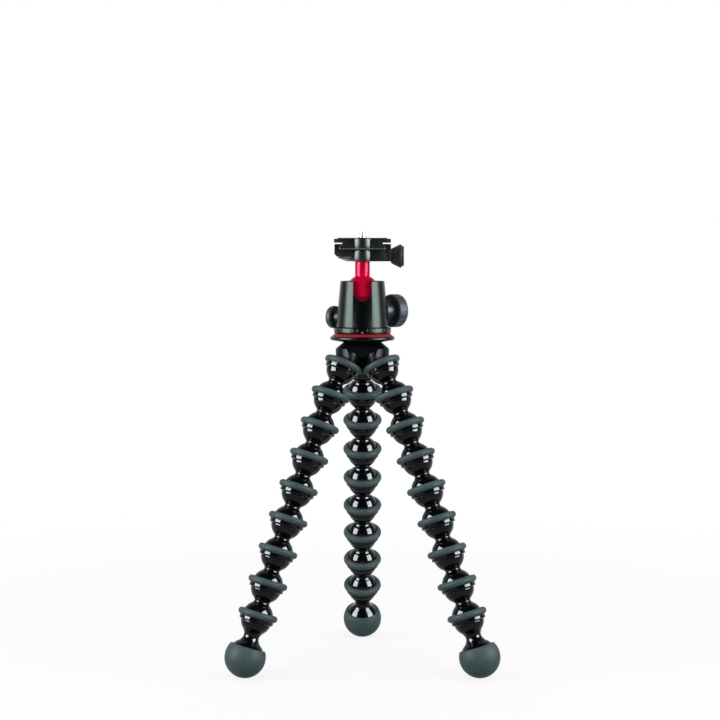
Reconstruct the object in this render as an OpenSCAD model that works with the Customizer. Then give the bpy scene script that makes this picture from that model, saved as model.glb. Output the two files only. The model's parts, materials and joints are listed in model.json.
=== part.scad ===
// Flexible leg tripod: three legs of ball-jointed segments under a ball head with a plate clamp.
// Millimetres, +Z up, front towards -Y. The origin is on the floor, in the middle of the footprint.

/* [Legs] */
// Distance between neighbouring ball centres along a leg
pitch = 27.2; // [26.4:0.2:30]
// Distance from the last socket's centre to the foot's centre
foot_reach = 34.2; // [33:0.2:36]
// Tilt of the root sockets from the vertical, in degrees
root_tilt = 27; // [24:1:32]
// Tilt of a front leg's first moving segment from the vertical, in degrees
leg_splay = 22.1; // [18:0.1:28]
// How much steeper each further segment of a front leg stands, in degrees
leg_curl = 0.4; // [0:0.1:1]
// How much flatter each further segment of the rear leg lies, in degrees
rear_curl = 0.84; // [0:0.02:1.2]
// Gap between the rubber rings of neighbouring root sockets
root_ring_gap = 0.8; // [0.5:0.1:3]

/* [Ball joints] */
// Diameter of a joint ball
ball_d = 25.6; // [24.6:0.2:26]
// Gap between a ball and its socket
ball_gap = 0.2; // [0.15:0.05:0.3]
// Wall of a socket's bowl
bowl_wall = 1.6; // [1.2:0.1:1.8]
// Height of a socket's rim above the ball's centre
rim_rise = 3.4; // [2.8:0.2:4]
// How far the step under the rubber ring stands out from the bowl
step_proud = 0.9; // [0.4:0.1:1.4]
// Height of that step
step_h = 3.5; // [2.5:0.5:4.5]
// Diameter of a neck
neck_d = 12.8; // [11:0.2:14]
// How far a neck flares where it meets the bowl and the ball
neck_flare = 2; // [1:0.2:2.4]

/* [Rubber] */
// Radial thickness of a rubber ring
ring_t = 1.85; // [1.5:0.05:2.4]
// How far a rubber ring reaches below the ball's centre
ring_drop = 1.2; // [0.6:0.2:2]
// Thickness of the ring's lip over the socket's rim
ring_lip = 0.75; // [0.5:0.05:1]
// Rounding of the ring's outer edges
ring_round = 2.6; // [1.6:0.1:2.7]
// Diameter of the ball inside a foot
foot_ball_d = 30.6; // [29:0.2:32]
// Thickness of a foot's rubber cap
foot_rubber = 1.55; // [1:0.05:2]
// Height of the cap's rim above the foot's centre
foot_rim = 8.5; // [6:0.5:10]
// How deep the foot is pressed flat where it stands
foot_flat = 0.3; // [0.2:0.05:0.6]

/* [Hub] */
// Height of the hub's top above the root sockets' centres
hub_rise = 19.9; // [19:0.1:22]
// Diameter of the hub's top face
hub_top_d = 31.4; // [28:0.2:36]
// Diameter of a lobe
lobe_d = 24.8; // [23:0.2:25]
// Height of the hub's sloping shoulder
shoulder_h = 5; // [4:0.2:6]
// Diameter across the foot of the shoulder
shoulder_d = 44; // [42:0.5:47]
// Height of a lobe above its socket's centre, up to the cap that joins the lobes
lobe_h = 11.4; // [10.8:0.2:12.6]
// How far the lobes stand out from the cap
lobe_proud = 0.4; // [0.2:0.1:1]
// Distance from the axis to each flat facet between the lobes
facet_r = 17.6; // [17:0.2:19]
// Diameter of the head stud, 3/8 inch
head_stud_d = 9.525; // [6.35:0.025:9.525]
// Depth of the head stud in the hub
head_stud_depth = 12; // [8:1:14]

/* [Head base] */
// Diameter of the base disc
base_d = 54; // [52:0.5:58]
// Height of the base disc
base_h = 5; // [4.6:0.1:6]
// Thickness of the disc's rounded lip
lip_t = 3.4; // [3:0.1:4]
// Rounding of that lip
lip_round = 1.5; // [0.6:0.1:1.5]
// Height of the red ring
base_ring_h = 2.3; // [1.8:0.1:4]
// How far the red ring lies in from the disc's edge
base_ring_set = 1.3; // [0.8:0.1:2]
// Diameter of the degree ring
degree_d = 47.8; // [46:0.2:48]
// Height of the degree ring
degree_h = 4.8; // [3.5:0.1:5.4]
// Bevel round the degree ring's lower edge
degree_bevel = 0.9; // [0.4:0.1:1.4]
// Diameter of the centre boss that the rings sit on
boss_d = 31.6; // [28:0.4:36]
// Thickness of the pan washer
washer_t = 0.45; // [0.3:0.05:0.8]
// Diameter of the pan spindle's shank
spindle_d = 10; // [8:0.5:12]
// Diameter of the brake drum on the spindle
drum_d = 20; // [17:0.5:22]
// Height of the brake drum
drum_h = 4.8; // [4.4:0.1:5]

/* [Ball housing] */
// Diameter of the housing at its foot
housing_foot_d = 43.6; // [42.6:0.2:45]
// Diameter of the housing at its top
housing_top_d = 36.8; // [35.6:0.2:38]
// Height of the housing
housing_h = 38.8; // [38:0.2:39.6]
// Thickness of the housing's threaded floor
floor_h = 5; // [4:0.2:5.2]
// Diameter of the chamber under the ball
chamber_d = 30.4; // [30:0.1:31]
// Diameter of the ball of the head
head_ball_d = 29; // [28:0.2:29.4]
// Height of that ball's centre above the housing's foot
head_ball_rise = 29.2; // [28.8:0.1:29.8]
// Diameter of the ball's stem
stem_d = 12.4; // [11:0.2:13]
// Distance from the ball's centre to the top of the stem
stem_reach = 25.8; // [24:0.2:30]
// Width of the notch that takes the stem
notch_w = 14.9; // [14:0.1:16]

/* [Lock knobs] */
// Diameter of the main lock knob over its grip
main_knob_d = 28; // [24:0.5:28.4]
// Thickness of the main lock knob
main_knob_t = 10; // [8:0.5:12]
// Height of its axis above the housing's foot
main_knob_rise = 13.2; // [13:0.1:13.6]
// Direction of its axis, in degrees from +X towards the back
main_knob_turn = 38; // [20:1:45]
// Distance from the upright axis to its inner face
main_knob_reach = 29; // [27:0.2:31]
// Diameter of the pan lock knob over its grip
pan_knob_d = 19; // [17:0.5:20]
// Thickness of the pan lock knob
pan_knob_t = 5.8; // [5:0.2:8]
// Height of its axis above the housing's foot
pan_knob_rise = 7.9; // [7.7:0.1:8]
// Direction of its axis, in degrees from +X towards the back
pan_knob_turn = 142; // [135:1:160]
// Distance from the upright axis to its inner face
pan_knob_reach = 27.4; // [25:0.1:29]
// Diameter of the main knob's stud
main_stud_d = 6; // [5:0.5:6]
// Diameter of the pan knob's stud
pan_stud_d = 5; // [4:0.5:5]
// Radial thickness of the knobs' rubber grips
grip_t = 2.6; // [2.4:0.1:3]
// Rounding of the grips' edges
grip_round = 2.2; // [1:0.1:2.4]
// Diameter of the grooves in the grips
groove_d = 1.8; // [1.2:0.1:2.2]
// Number of grooves round the main knob
main_grooves = 24; // [12:2:28]
// Number of grooves round the pan knob
pan_grooves = 18; // [10:2:20]

/* [Clamp] */
// Distance from the stem's axis to the outer side of the fixed jaw
clamp_left = 23.1; // [22.9:0.1:26]
// Length of the clamp from front to back
clamp_l = 42; // [38:1:46]
// Height of the clamp's body from its underside to the channel's floor
clamp_body_h = 10.2; // [9.8:0.1:12]
// Height of the jaws above the channel's floor
jaw_h = 4.1; // [3.8:0.1:4.4]
// Thickness of the moving jaw
jaw_t = 4.7; // [4.5:0.1:6]
// Gap between the moving jaw and the body
jaw_gap = 0.3; // [0.2:0.05:0.5]
// Diameter of the round front boss
front_boss_d = 18.4; // [16:0.2:20]
// Width of the groove round that boss
boss_groove = 0.8; // [0.5:0.1:1.2]
// Height of the clamp screw's axis above the clamp's underside
clamp_screw_rise = 4.4; // [4:0.1:5]
// Diameter of the clamp screw
clamp_screw_d = 5; // [4:0.5:5]
// Diameter of the jaw's guide pins
guide_pin_d = 3; // [2:0.5:3]
// Distance of the guide pins from the clamp's middle
guide_pin_y = 14; // [10:0.5:16]
// Length of the clamp knob's cone
clamp_knob_l = 8.8; // [7:0.2:12]
// Diameter of the clamp knob at its small end
clamp_knob_small_d = 11.6; // [10:0.2:13]
// Diameter of the clamp knob at its large end
clamp_knob_large_d = 19.5; // [17:0.5:21]
// Thickness of the clamp knob's end cap
clamp_cap_t = 1.9; // [1.2:0.1:3]
// Diameter of the screw that holds the clamp on the stem
stem_screw_d = 5; // [4:0.5:5]
// Diameter of that screw's head
stem_screw_head_d = 8.5; // [7.5:0.1:9]

/* [Quick plate] */
// Width of the plate
plate_w = 46.8; // [44:0.2:52]
// Length of the plate from front to back
plate_l = 50; // [46:1:60]
// Thickness of the plate above its dovetail
plate_t = 3; // [2.6:0.2:4]
// Width of the dovetail at its foot
dovetail_foot_w = 38; // [37.6:0.1:38.2]
// Width of the dovetail at its neck
dovetail_neck_w = 33.4; // [33:0.1:34]
// Height of the dovetail
dovetail_h = 5.2; // [5:0.1:6]
// Gap round the dovetail in the channel
dovetail_gap = 0.3; // [0.2:0.05:0.35]
// Width of the rubber pad
pad_w = 41; // [30:1:42]
// Length of the rubber pad
pad_l = 40; // [30:1:44]
// How far the pad stands above the plate
pad_proud = 0.8; // [0.4:0.1:1.2]
// How deep the pad is let into the plate
pad_inset = 0.6; // [0.3:0.1:0.8]
// Diameter of the camera screw, 1/4 inch
camera_screw_d = 6.35; // [6.35:0.01:6.36]
// How far the camera screw stands above the pad
camera_screw_proud = 5; // [4:0.1:5.5]
// Diameter of the camera screw's head
camera_head_d = 13; // [12:0.2:14]
// Height of the camera screw's head
camera_head_h = 3; // [2.4:0.2:3.4]

/* [Hidden] */
$fn = 96;
// Gap between pieces that are fixed together, so that each stays a solid of its own
fit_gap = 0.05;
// Gap round turning and sliding pieces
run_gap = 0.1;
// Overlap that makes cuts and joins clean
bite = 0.5;
// Gap between faces that turn or slide on each other
face_gap = 0.2;
// Small chamfer on rims
chamfer = 0.6;
// Share of a neck's length that each of its flares takes
flare_share = 0.38;
// Share of a knob's thickness that its stud reaches into
stud_share = 0.6;
// How far the hub's stubs reach into the root sockets below their centres
stub_depth = 4;
// Wall left round a stub
stub_wall = 1.4;
// Thickness of the base disc over the head stud
stud_roof = 0.8;
// Width of the housing's ledge that the floor is let into
floor_ledge = 2.3;
// How far the main stud ends outside the chamber, and the pan stud inside it
main_stud_stop = 1.6;
pan_stud_stop = 0.4;
// How far the clamp's body stops short of the dovetail's side
jaw_seat = 0.4;
// Height of the dovetail's straight neck
neck_h = 1;
// Distance of the round bosses' axes behind the front edges
boss_set = 7;
// Distance of the pad's front edge behind the plate boss's axis
pad_set = 1;
// Length of the knob beyond the end of the clamp screw
bolt_stop = 2;
// Wall of the moving jaw in front of the guide pins
pin_wall = 1;
// Depth of the stem screw's ledge below the channel's floor
stem_ledge_depth = 5.2;

LEG_NAMES = ["left", "right", "rear"];
LEG_TURNS = [210, 330, 90];
SEGMENTS = 8;
function segment_name(leg, k) = str("leg_", LEG_NAMES[leg], "_segment_", k);
function cap_name(leg) = str("foot_cap_", LEG_NAMES[leg]);

// Joint sizes
ball_r = ball_d / 2;
cavity_r = ball_r + ball_gap;
bowl_r = cavity_r + bowl_wall;
step_r = bowl_r + step_proud;
ring_r = bowl_r + fit_gap + ring_t;
ring_top = rim_rise + fit_gap + ring_lip;
neck_r = neck_d / 2;
foot_ball_r = foot_ball_d / 2;
stub_r = lobe_d / 2 - stub_wall;
foot_r = foot_ball_r + fit_gap + foot_rubber;
mouth_r = sqrt(cavity_r * cavity_r - rim_rise * rim_rise);

// The root sockets stand as close to the axis as the gap between their rings allows
root_ring_half = ring_r * sqrt(pow(cos(60), 2) + pow(sin(60) * cos(root_tilt), 2));
root_radius = (root_ring_half + root_ring_gap / 2) / sin(60) + sin(root_tilt) * (ring_top - ring_round);

// Where the balls of a leg lie from its root, as [distance outwards, height]
function along(angle) = [sin(angle), -cos(angle)];
function bent(splay, curl, k) = splay - curl * (k - 1);
function drop_to(splay, curl, k) = k == 1 ? [0, 0] : k == 2 ? pitch * along(root_tilt)
    : drop_to(splay, curl, k - 1) + pitch * along(bent(splay, curl, k - 2));
function foot_drop(splay, curl) =
    drop_to(splay, curl, SEGMENTS + 1) + foot_reach * along(bent(splay, curl, SEGMENTS));
front_drop = foot_drop(leg_splay, leg_curl);
root_z = foot_r - foot_flat - front_drop[1];

// The rear leg's first tilt is halved in on until its foot stands as low as the front feet
function settled(low, high, tries) = let (middle = (low + high) / 2) tries == 0 ? middle
    : foot_drop(middle, -rear_curl)[1] < front_drop[1]
    ? settled(middle, high, tries - 1) : settled(low, middle, tries - 1);
rear_splay = settled(0, 45, 40);
LEG_SPLAYS = [leg_splay, leg_splay, rear_splay];
LEG_CURLS = [leg_curl, leg_curl, -rear_curl];
function tilt(leg, k) = bent(LEG_SPLAYS[leg], LEG_CURLS[leg], k);
function centre(leg, k) = [root_radius, root_z] + drop_to(LEG_SPLAYS[leg], LEG_CURLS[leg], k);
function foot_radius(leg) = root_radius + foot_drop(LEG_SPLAYS[leg], LEG_CURLS[leg])[0];
// The middle of the footprint lies behind the upright axis
axis_y = foot_radius(0) / 4 - foot_radius(2) / 2;

// Heights of the head
hub_top = root_z + hub_rise;
base_top = hub_top + base_h;
base_ring_top = base_top + base_ring_h;
degree_top = base_ring_top + degree_h;
boss_top = degree_top - face_gap;
housing_foot = boss_top + washer_t + fit_gap;
floor_top = housing_foot + floor_h;
drum_foot = floor_top + face_gap;
ball_z = housing_foot + head_ball_rise;
housing_top = housing_foot + housing_h;
clamp_foot = ball_z + stem_reach;
channel_z = clamp_foot + clamp_body_h;
jaw_top = channel_z + jaw_h;
plate_foot = channel_z + face_gap;
flange_z = plate_foot + dovetail_h;
plate_top = flange_z + plate_t;
pad_top = plate_top + pad_proud;
main_knob_z = housing_foot + main_knob_rise;
pan_knob_z = housing_foot + pan_knob_rise;
clamp_screw_z = clamp_foot + clamp_screw_rise;
// The stud stops short of the spindle's bore above it
stud_rise = base_h - stud_roof;
// The stem screw's head sits on this ledge in the clamp
stem_ledge = channel_z - stem_ledge_depth;

// Radii of the head
boss_r = boss_d / 2;
head_ball_r = head_ball_d / 2;
head_cavity_r = head_ball_r + ball_gap;
chamber_r = chamber_d / 2;
floor_r = chamber_r + floor_ledge;
seat_gap = 0.1;
drum_r = drum_d / 2;
// Where the plunger meets the sloping flank of the ball seat
plunger_tip = 12;
plunger_end = chamber_r + main_stud_stop;
pad_end = chamber_r - pan_stud_stop;
knob_hub_from = housing_foot_d / 2 + jaw_gap;

// Clamp and plate places
body_right = dovetail_foot_w / 2 - jaw_seat;
jaw_left = body_right + jaw_gap;
jaw_right = jaw_left + jaw_t;
neck_x = dovetail_neck_w / 2;
foot_x = dovetail_foot_w / 2;
flank = foot_x - neck_x;
neck_foot = flange_z - neck_h;
front_boss_y = -clamp_l / 2 + boss_set;
front_boss_r = front_boss_d / 2;
plate_boss_y = -plate_l / 2 + boss_set;
// The pad starts behind the groove round the plate's boss
pad_front = plate_boss_y + pad_set;
knob_left = jaw_right + face_gap;
bolt_right = knob_left + clamp_knob_l - bolt_stop;

function sphere_h(ball, r) = sqrt(ball * ball - r * r);
function arc(at, r, from, to, steps) =
    [for (i = [0:steps]) at + r * [cos(from + (to - from) * i / steps), sin(from + (to - from) * i / steps)]];

module on_axis() { translate([0, axis_y, 0]) children(); }
module on_leg(leg, at, angle) {
    on_axis() rotate([0, 0, LEG_TURNS[leg]]) translate([at[0], 0, at[1]]) rotate([0, -angle, 0]) children();
}
module at_height(z) { on_axis() translate([0, 0, z]) children(); }
// Turns a shape drawn up the Z axis so that it points outwards along +X from the upright axis
module outwards(turn, z) { at_height(z) rotate([0, 0, turn]) rotate([0, 90, 0]) children(); }

// A neck from a bowl down to a ball whose centre is reach below
module neck(reach, end_r) {
    wide = neck_r + neck_flare;
    high = bite - sphere_h(bowl_r, wide);
    low = sphere_h(end_r, wide) - reach - bite;
    flare_h = flare_share * (high - low);
    rotate_extrude() polygon([
        [0, high], [wide, high], [neck_r, high - flare_h],
        [neck_r, low + flare_h], [wide, low], [0, low]
    ]);
}

// Bowl, step, rim, neck and ball, with nothing hollowed out
module segment_body(reach, end_r) {
    union() {
        intersection() {
            sphere(r = bowl_r);
            translate([0, 0, -bowl_r]) cylinder(r = bowl_r + 1, h = bowl_r);
        }
        translate([0, 0, -bite]) cylinder(r = bowl_r, h = rim_rise + bite);
        translate([0, 0, -ring_drop - fit_gap - step_h]) cylinder(r = step_r, h = step_h);
        neck(reach, end_r);
        translate([0, 0, -reach]) sphere(r = end_r);
    }
}

// Rubber ring that grips the rim of a socket and laps over its top
module ring_body() {
    low = -ring_drop;
    side = ring_r - ring_round;
    rotate_extrude() difference() {
        polygon(concat(
            [[mouth_r, low]],
            arc([side, low + ring_round], ring_round, -90, 0, 6),
            arc([side, ring_top - ring_round], ring_round, 0, 90, 6),
            [[mouth_r, ring_top]]
        ));
        translate([0, low - bite]) square([bowl_r + fit_gap, rim_rise + fit_gap - low + bite]);
    }
}

module segment(leg, k) {
    last = k == SEGMENTS;
    color([0.05, 0.05, 0.06]) on_leg(leg, centre(leg, k + 1), tilt(leg, k)) {
        difference() {
            segment_body(last ? foot_reach : pitch, last ? foot_ball_r : ball_r);
            sphere(r = cavity_r);
            translate([0, 0, rim_rise - 1]) cylinder(r = mouth_r, h = 1 + bite);
        }
        ring_body();
    }
}

module foot_cap(leg) {
    color([0.3, 0.33, 0.34]) difference() {
        on_leg(leg, centre(leg, SEGMENTS + 1), tilt(leg, SEGMENTS)) translate([0, 0, -foot_reach]) difference() {
            sphere(r = foot_r);
            sphere(r = foot_ball_r + fit_gap);
            translate([0, 0, foot_rim]) cylinder(r = foot_r, h = foot_r);
        }
        on_axis() translate([0, 0, -foot_r]) cylinder(r = foot_radius(leg) + 2 * foot_r, h = foot_r);
    }
}

// The hub's stubs reach into the pockets on top
module root_sockets() {
    color([0.05, 0.05, 0.06]) for (leg = [0:2]) on_leg(leg, centre(leg, 1), root_tilt) difference() {
        segment_body(pitch, ball_r);
        translate([0, 0, -stub_depth]) cylinder(r = stub_r + fit_gap, h = stub_depth + rim_rise + bite);
    }
}

module root_rings() {
    color([0.3, 0.33, 0.34]) for (leg = [0:2]) on_leg(leg, centre(leg, 1), root_tilt) ring_body();
}

// Cap that joins the lobes: a shoulder above, a face square to each leg below and a flat between the lobes
module hub_cap() {
    block = 4 * shoulder_d;
    intersection() {
        at_height(hub_top) rotate_extrude() polygon([
            [0, 0], [hub_top_d / 2, 0], [shoulder_d / 2, -shoulder_h], [shoulder_d / 2, -hub_rise], [0, -hub_rise]
        ]);
        intersection_for(leg = [0:2]) on_leg(leg, centre(leg, 1), root_tilt)
            translate([-block / 2, -block / 2, lobe_h]) cube(block);
        intersection_for(turn = [30, 150, 270]) at_height(root_z) rotate([0, 0, turn])
            translate([facet_r - block, -block / 2, -block / 2]) cube(block);
    }
}

module hub_body() {
    color([0.06, 0.06, 0.07]) difference() {
        union() {
            hub_cap();
            for (leg = [0:2]) intersection() {
                on_leg(leg, centre(leg, 1), root_tilt) translate([0, 0, rim_rise + fit_gap])
                    cylinder(d = lobe_d, h = lobe_h + bite - rim_rise - fit_gap);
                at_height(root_z - hub_rise) cylinder(r = shoulder_d / 2 + lobe_proud, h = 2 * hub_rise);
            }
            for (leg = [0:2]) on_leg(leg, centre(leg, 1), root_tilt) translate([0, 0, fit_gap - stub_depth])
                cylinder(r = stub_r, h = stub_depth + rim_rise + bite);
        }
        at_height(hub_top - head_stud_depth)
            cylinder(d = head_stud_d + 2 * fit_gap, h = head_stud_depth + bite);
    }
}

module head_stud() {
    color("silver") at_height(hub_top - head_stud_depth + fit_gap)
        cylinder(d = head_stud_d, h = head_stud_depth + stud_rise - 2 * fit_gap);
}

module base_disc() {
    side = base_d / 2;
    color([0.07, 0.07, 0.08]) difference() {
        union() {
            at_height(hub_top) rotate_extrude() polygon(concat(
                [[0, 0], [hub_top_d / 2, 0]],
                arc([side - lip_round, base_h - lip_t + lip_round], lip_round, -90, 0, 6),
                arc([side - lip_round, base_h - lip_round], lip_round, 0, 90, 6),
                [[0, base_h]]
            ));
            at_height(base_top - bite) cylinder(r = boss_r, h = boss_top - base_top + bite);
        }
        at_height(hub_top - bite) cylinder(d = head_stud_d + 2 * fit_gap, h = stud_rise + bite);
        at_height(base_top) cylinder(d = spindle_d + 2 * fit_gap, h = boss_top - base_top + bite);
    }
}

module base_ring() {
    color([0.65, 0.12, 0.2]) at_height(base_top) rotate_extrude() polygon([
        [boss_r + fit_gap, 0], [base_d / 2 - base_ring_set, 0], [degree_d / 2 - degree_bevel, base_ring_h],
        [boss_r + fit_gap, base_ring_h]
    ]);
}

module degree_ring() {
    side = degree_d / 2;
    color([0.1, 0.1, 0.11]) at_height(base_ring_top) rotate_extrude() polygon([
        [boss_r + fit_gap, 0], [side - degree_bevel, 0], [side, degree_bevel], [side, degree_h - chamfer],
        [side - chamfer, degree_h], [boss_r + fit_gap, degree_h]
    ]);
}

module pan_spindle() {
    socket_d = 0.4 * drum_d;
    socket_h = 0.6 * drum_h;
    color("silver") difference() {
        union() {
            at_height(base_top + fit_gap) cylinder(d = spindle_d, h = drum_foot - base_top - fit_gap + bite);
            at_height(drum_foot) cylinder(r = drum_r, h = drum_h);
        }
        at_height(drum_foot + drum_h - socket_h) cylinder(d = socket_d, h = socket_h + bite, $fn = 6);
    }
}

module pan_washer() {
    color("white") at_height(boss_top) difference() {
        cylinder(r = boss_r - 1, h = washer_t);
        translate([0, 0, -bite]) cylinder(d = spindle_d + 2, h = washer_t + 2 * bite);
    }
}

module housing() {
    foot_side = housing_foot_d / 2;
    top_side = housing_top_d / 2;
    notch_r = notch_w / 2;
    color([0.1, 0.1, 0.11]) difference() {
        at_height(housing_foot) rotate_extrude() polygon([
            [0, 0], [foot_side - chamfer, 0], [foot_side, chamfer], [top_side, housing_h - chamfer],
            [top_side - chamfer, housing_h], [0, housing_h]
        ]);
        at_height(housing_foot - bite) cylinder(r = floor_r + fit_gap, h = floor_h + bite);
        at_height(housing_foot) cylinder(r = chamber_r, h = head_ball_rise);
        at_height(ball_z) sphere(r = head_cavity_r);
        at_height(ball_z) rotate([90, 0, 0]) cylinder(r = notch_r, h = foot_side + bite);
        at_height(ball_z) translate([-notch_r, -foot_side - bite, 0])
            cube([notch_w, foot_side + bite, housing_h]);
        outwards(main_knob_turn, main_knob_z) cylinder(d = main_stud_d + 2 * run_gap, h = foot_side + bite);
        outwards(pan_knob_turn, pan_knob_z) cylinder(d = pan_stud_d + 2 * run_gap, h = foot_side + bite);
    }
}

module housing_floor() {
    color("gray") at_height(housing_foot) difference() {
        cylinder(r = floor_r, h = floor_h - fit_gap);
        translate([0, 0, -bite]) cylinder(d = spindle_d + 2 * run_gap, h = floor_h + 2 * bite);
    }
}

// Cup under the ball with a sloping flank that the plunger pushes on
module ball_seat() {
    side = chamber_r - seat_gap;
    low = -head_ball_r - seat_gap;
    hole_r = 0.35 * head_ball_r;
    flank_r = 0.65 * head_ball_r;
    // The cup's rim stays under the stem when the ball lies all the way over
    high = -stem_d / 2 - jaw_gap;
    color("ivory") at_height(ball_z) rotate_extrude() difference() {
        polygon([[hole_r, low], [flank_r, low], [side, low + side - flank_r], [side, high], [hole_r, high]]);
        circle(r = head_ball_r + seat_gap);
    }
}

module ball_stem() {
    thread_l = 10;
    color([0.9, 0.1, 0.2]) difference() {
        union() {
            at_height(ball_z) sphere(r = head_ball_r);
            at_height(ball_z) cylinder(d = stem_d, h = stem_reach);
        }
        at_height(clamp_foot - thread_l) cylinder(d = stem_screw_d + 2 * fit_gap, h = thread_l + bite);
    }
}

module stem_screw() {
    head_h = 4.4;
    thread_l = 9;
    color("silver") difference() {
        union() {
            at_height(clamp_foot - thread_l)
                cylinder(d = stem_screw_d, h = thread_l + stem_ledge - clamp_foot + bite);
            at_height(stem_ledge) cylinder(d = stem_screw_head_d, h = head_h);
        }
        at_height(stem_ledge + head_h / 2) cylinder(d = stem_screw_head_d / 2, h = head_h, $fn = 6);
    }
}

// Round core of a lock knob: a hub towards the housing and the disc that carries the grip
module knob_core(d, t, reach, hub_from, hub_d, stud_d) {
    difference() {
        union() {
            translate([0, 0, hub_from]) cylinder(d = hub_d, h = reach - hub_from + bite);
            translate([0, 0, reach]) cylinder(d = d - 2 * grip_t - 2 * fit_gap, h = t);
        }
        translate([0, 0, hub_from - bite])
            cylinder(d = stud_d + 2 * fit_gap, h = reach - hub_from + stud_share * t + bite + fit_gap);
    }
}

// Rubber tyre of a lock knob, with grooves across it
module knob_grip(d, t, reach, grooves) {
    side = d / 2;
    translate([0, 0, reach]) difference() {
        rotate_extrude() polygon(concat(
            [[side - grip_t, 0]],
            arc([side - grip_round, grip_round], grip_round, -90, 0, 6),
            arc([side - grip_round, t - grip_round], grip_round, 0, 90, 6),
            [[side - grip_t, t]]
        ));
        for (i = [0:grooves - 1]) rotate([0, 0, 360 * i / grooves])
            translate([side + groove_d / 4, 0, -bite]) cylinder(d = groove_d, h = t + 2 * bite, $fn = 24);
    }
}

module main_knob_core() {
    color([0.12, 0.12, 0.13]) outwards(main_knob_turn, main_knob_z)
        knob_core(main_knob_d, main_knob_t, main_knob_reach, knob_hub_from, main_knob_d / 2, main_stud_d);
}
module main_knob_grip() {
    color([0.2, 0.22, 0.26]) outwards(main_knob_turn, main_knob_z)
        knob_grip(main_knob_d, main_knob_t, main_knob_reach, main_grooves);
}
module main_knob_stud() {
    color("silver") outwards(main_knob_turn, main_knob_z) translate([0, 0, plunger_end])
        cylinder(d = main_stud_d, h = main_knob_reach + stud_share * main_knob_t - plunger_end);
}
module lock_plunger() {
    r = main_stud_d / 2 - jaw_gap;
    color("goldenrod") outwards(main_knob_turn, main_knob_z) rotate_extrude() polygon([
        [0, plunger_tip], [r / 2, plunger_tip], [r, plunger_tip + r / 2], [r, plunger_end], [0, plunger_end]
    ]);
}

module pan_knob_core() {
    color([0.12, 0.12, 0.13]) outwards(pan_knob_turn, pan_knob_z)
        knob_core(pan_knob_d, pan_knob_t, pan_knob_reach, knob_hub_from, pan_knob_d / 2, pan_stud_d);
}
module pan_knob_grip() {
    color([0.2, 0.22, 0.26]) outwards(pan_knob_turn, pan_knob_z)
        knob_grip(pan_knob_d, pan_knob_t, pan_knob_reach, pan_grooves);
}
module pan_knob_stud() {
    color("silver") outwards(pan_knob_turn, pan_knob_z) translate([0, 0, pad_end])
        cylinder(d = pan_stud_d, h = pan_knob_reach + stud_share * pan_knob_t - pad_end);
}
module pan_brake_pad() {
    pad_from = drum_r + face_gap;
    thinner = 1.4;
    color("goldenrod") outwards(pan_knob_turn, pan_knob_z) translate([0, 0, pad_from])
        cylinder(d = pan_stud_d - thinner, h = pad_end - pad_from);
}

// A bar along Y whose section is drawn as [x, z]
module bar(length, points) {
    rotate([90, 0, 0]) translate([0, 0, -length / 2]) linear_extrude(length) polygon(points);
}
// Half groove round the front of the boss
module boss_groove_cut(z, h) {
    translate([0, front_boss_y, z]) difference() {
        cylinder(r = front_boss_r + boss_groove, h = h);
        translate([0, 0, -bite]) cylinder(r = front_boss_r, h = h + 2 * bite);
        translate([-front_boss_d, 0, -bite]) cube([2 * front_boss_d, 2 * front_boss_d, h + 2 * bite]);
    }
}
// Inner flank of a jaw, as seen from the front on the right-hand side
function jaw_flank(outer) =
    let (x = neck_x + dovetail_gap + neck_foot - jaw_top, side = foot_x + 2 * dovetail_gap)
    [[x, jaw_top], [side, jaw_top - (side - x)], [side, outer]];

module clamp_body() {
    edge = 2;
    cone_h = 2.8;
    cone_r = clamp_left - edge - chamfer;
    cone_small_r = cone_r - 2.5 * cone_h;
    slab_z = clamp_foot + 2 * edge;
    boss_h = clamp_body_h - 1;
    bore_x = stem_d / 2;
    flank_points = jaw_flank(channel_z - bite);
    color([0.08, 0.08, 0.09]) difference() {
        on_axis() difference() {
            union() {
                bar(clamp_l, [
                    [body_right, slab_z], [body_right, channel_z], [-clamp_left, channel_z],
                    [-clamp_left, slab_z + edge], [edge - clamp_left, slab_z]
                ]);
                bar(clamp_l, concat(
                    [for (p = flank_points) [-p[0], p[1]]],
                    [[-clamp_left, channel_z - bite], [-clamp_left, jaw_top - chamfer]],
                    [[chamfer - clamp_left, jaw_top]]
                ));
                translate([0, 0, clamp_foot]) cylinder(r1 = cone_small_r, r2 = cone_r, h = cone_h);
                translate([0, 0, clamp_foot + cone_h])
                    cylinder(r = cone_r, h = slab_z - clamp_foot - cone_h + bite);
                translate([bore_x, -clamp_l / 2, clamp_foot])
                    cube([body_right - bore_x, clamp_l, slab_z - clamp_foot + bite]);
                translate([0, front_boss_y, clamp_foot]) cylinder(r = front_boss_r, h = boss_h);
            }
            boss_groove_cut(clamp_foot - bite, clamp_body_h + 2 * bite);
            // The round underside stops where the moving jaw starts
            translate([body_right, -clamp_l, clamp_foot - bite]) cube([clamp_l, 2 * clamp_l, clamp_body_h]);
            // The boss stops just short of the plate's own boss
            translate([-front_boss_r, -clamp_l, clamp_foot + boss_h])
                cube([front_boss_d, clamp_l + front_boss_y, clamp_body_h]);
        }
        at_height(stem_ledge) cylinder(d = stem_screw_head_d + 2 * run_gap, h = channel_z);
        at_height(clamp_foot - bite) cylinder(d = stem_screw_d + 2 * run_gap, h = clamp_body_h);
        at_height(clamp_screw_z) translate([bore_x + 1, 0, 0]) rotate([0, 90, 0])
            cylinder(d = clamp_screw_d + 2 * run_gap, h = body_right);
        for (side = [-1, 1]) at_height(clamp_screw_z)
            translate([bore_x, side * guide_pin_y, 0]) rotate([0, 90, 0])
                cylinder(d = guide_pin_d + 2 * fit_gap, h = body_right);
    }
}

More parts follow.
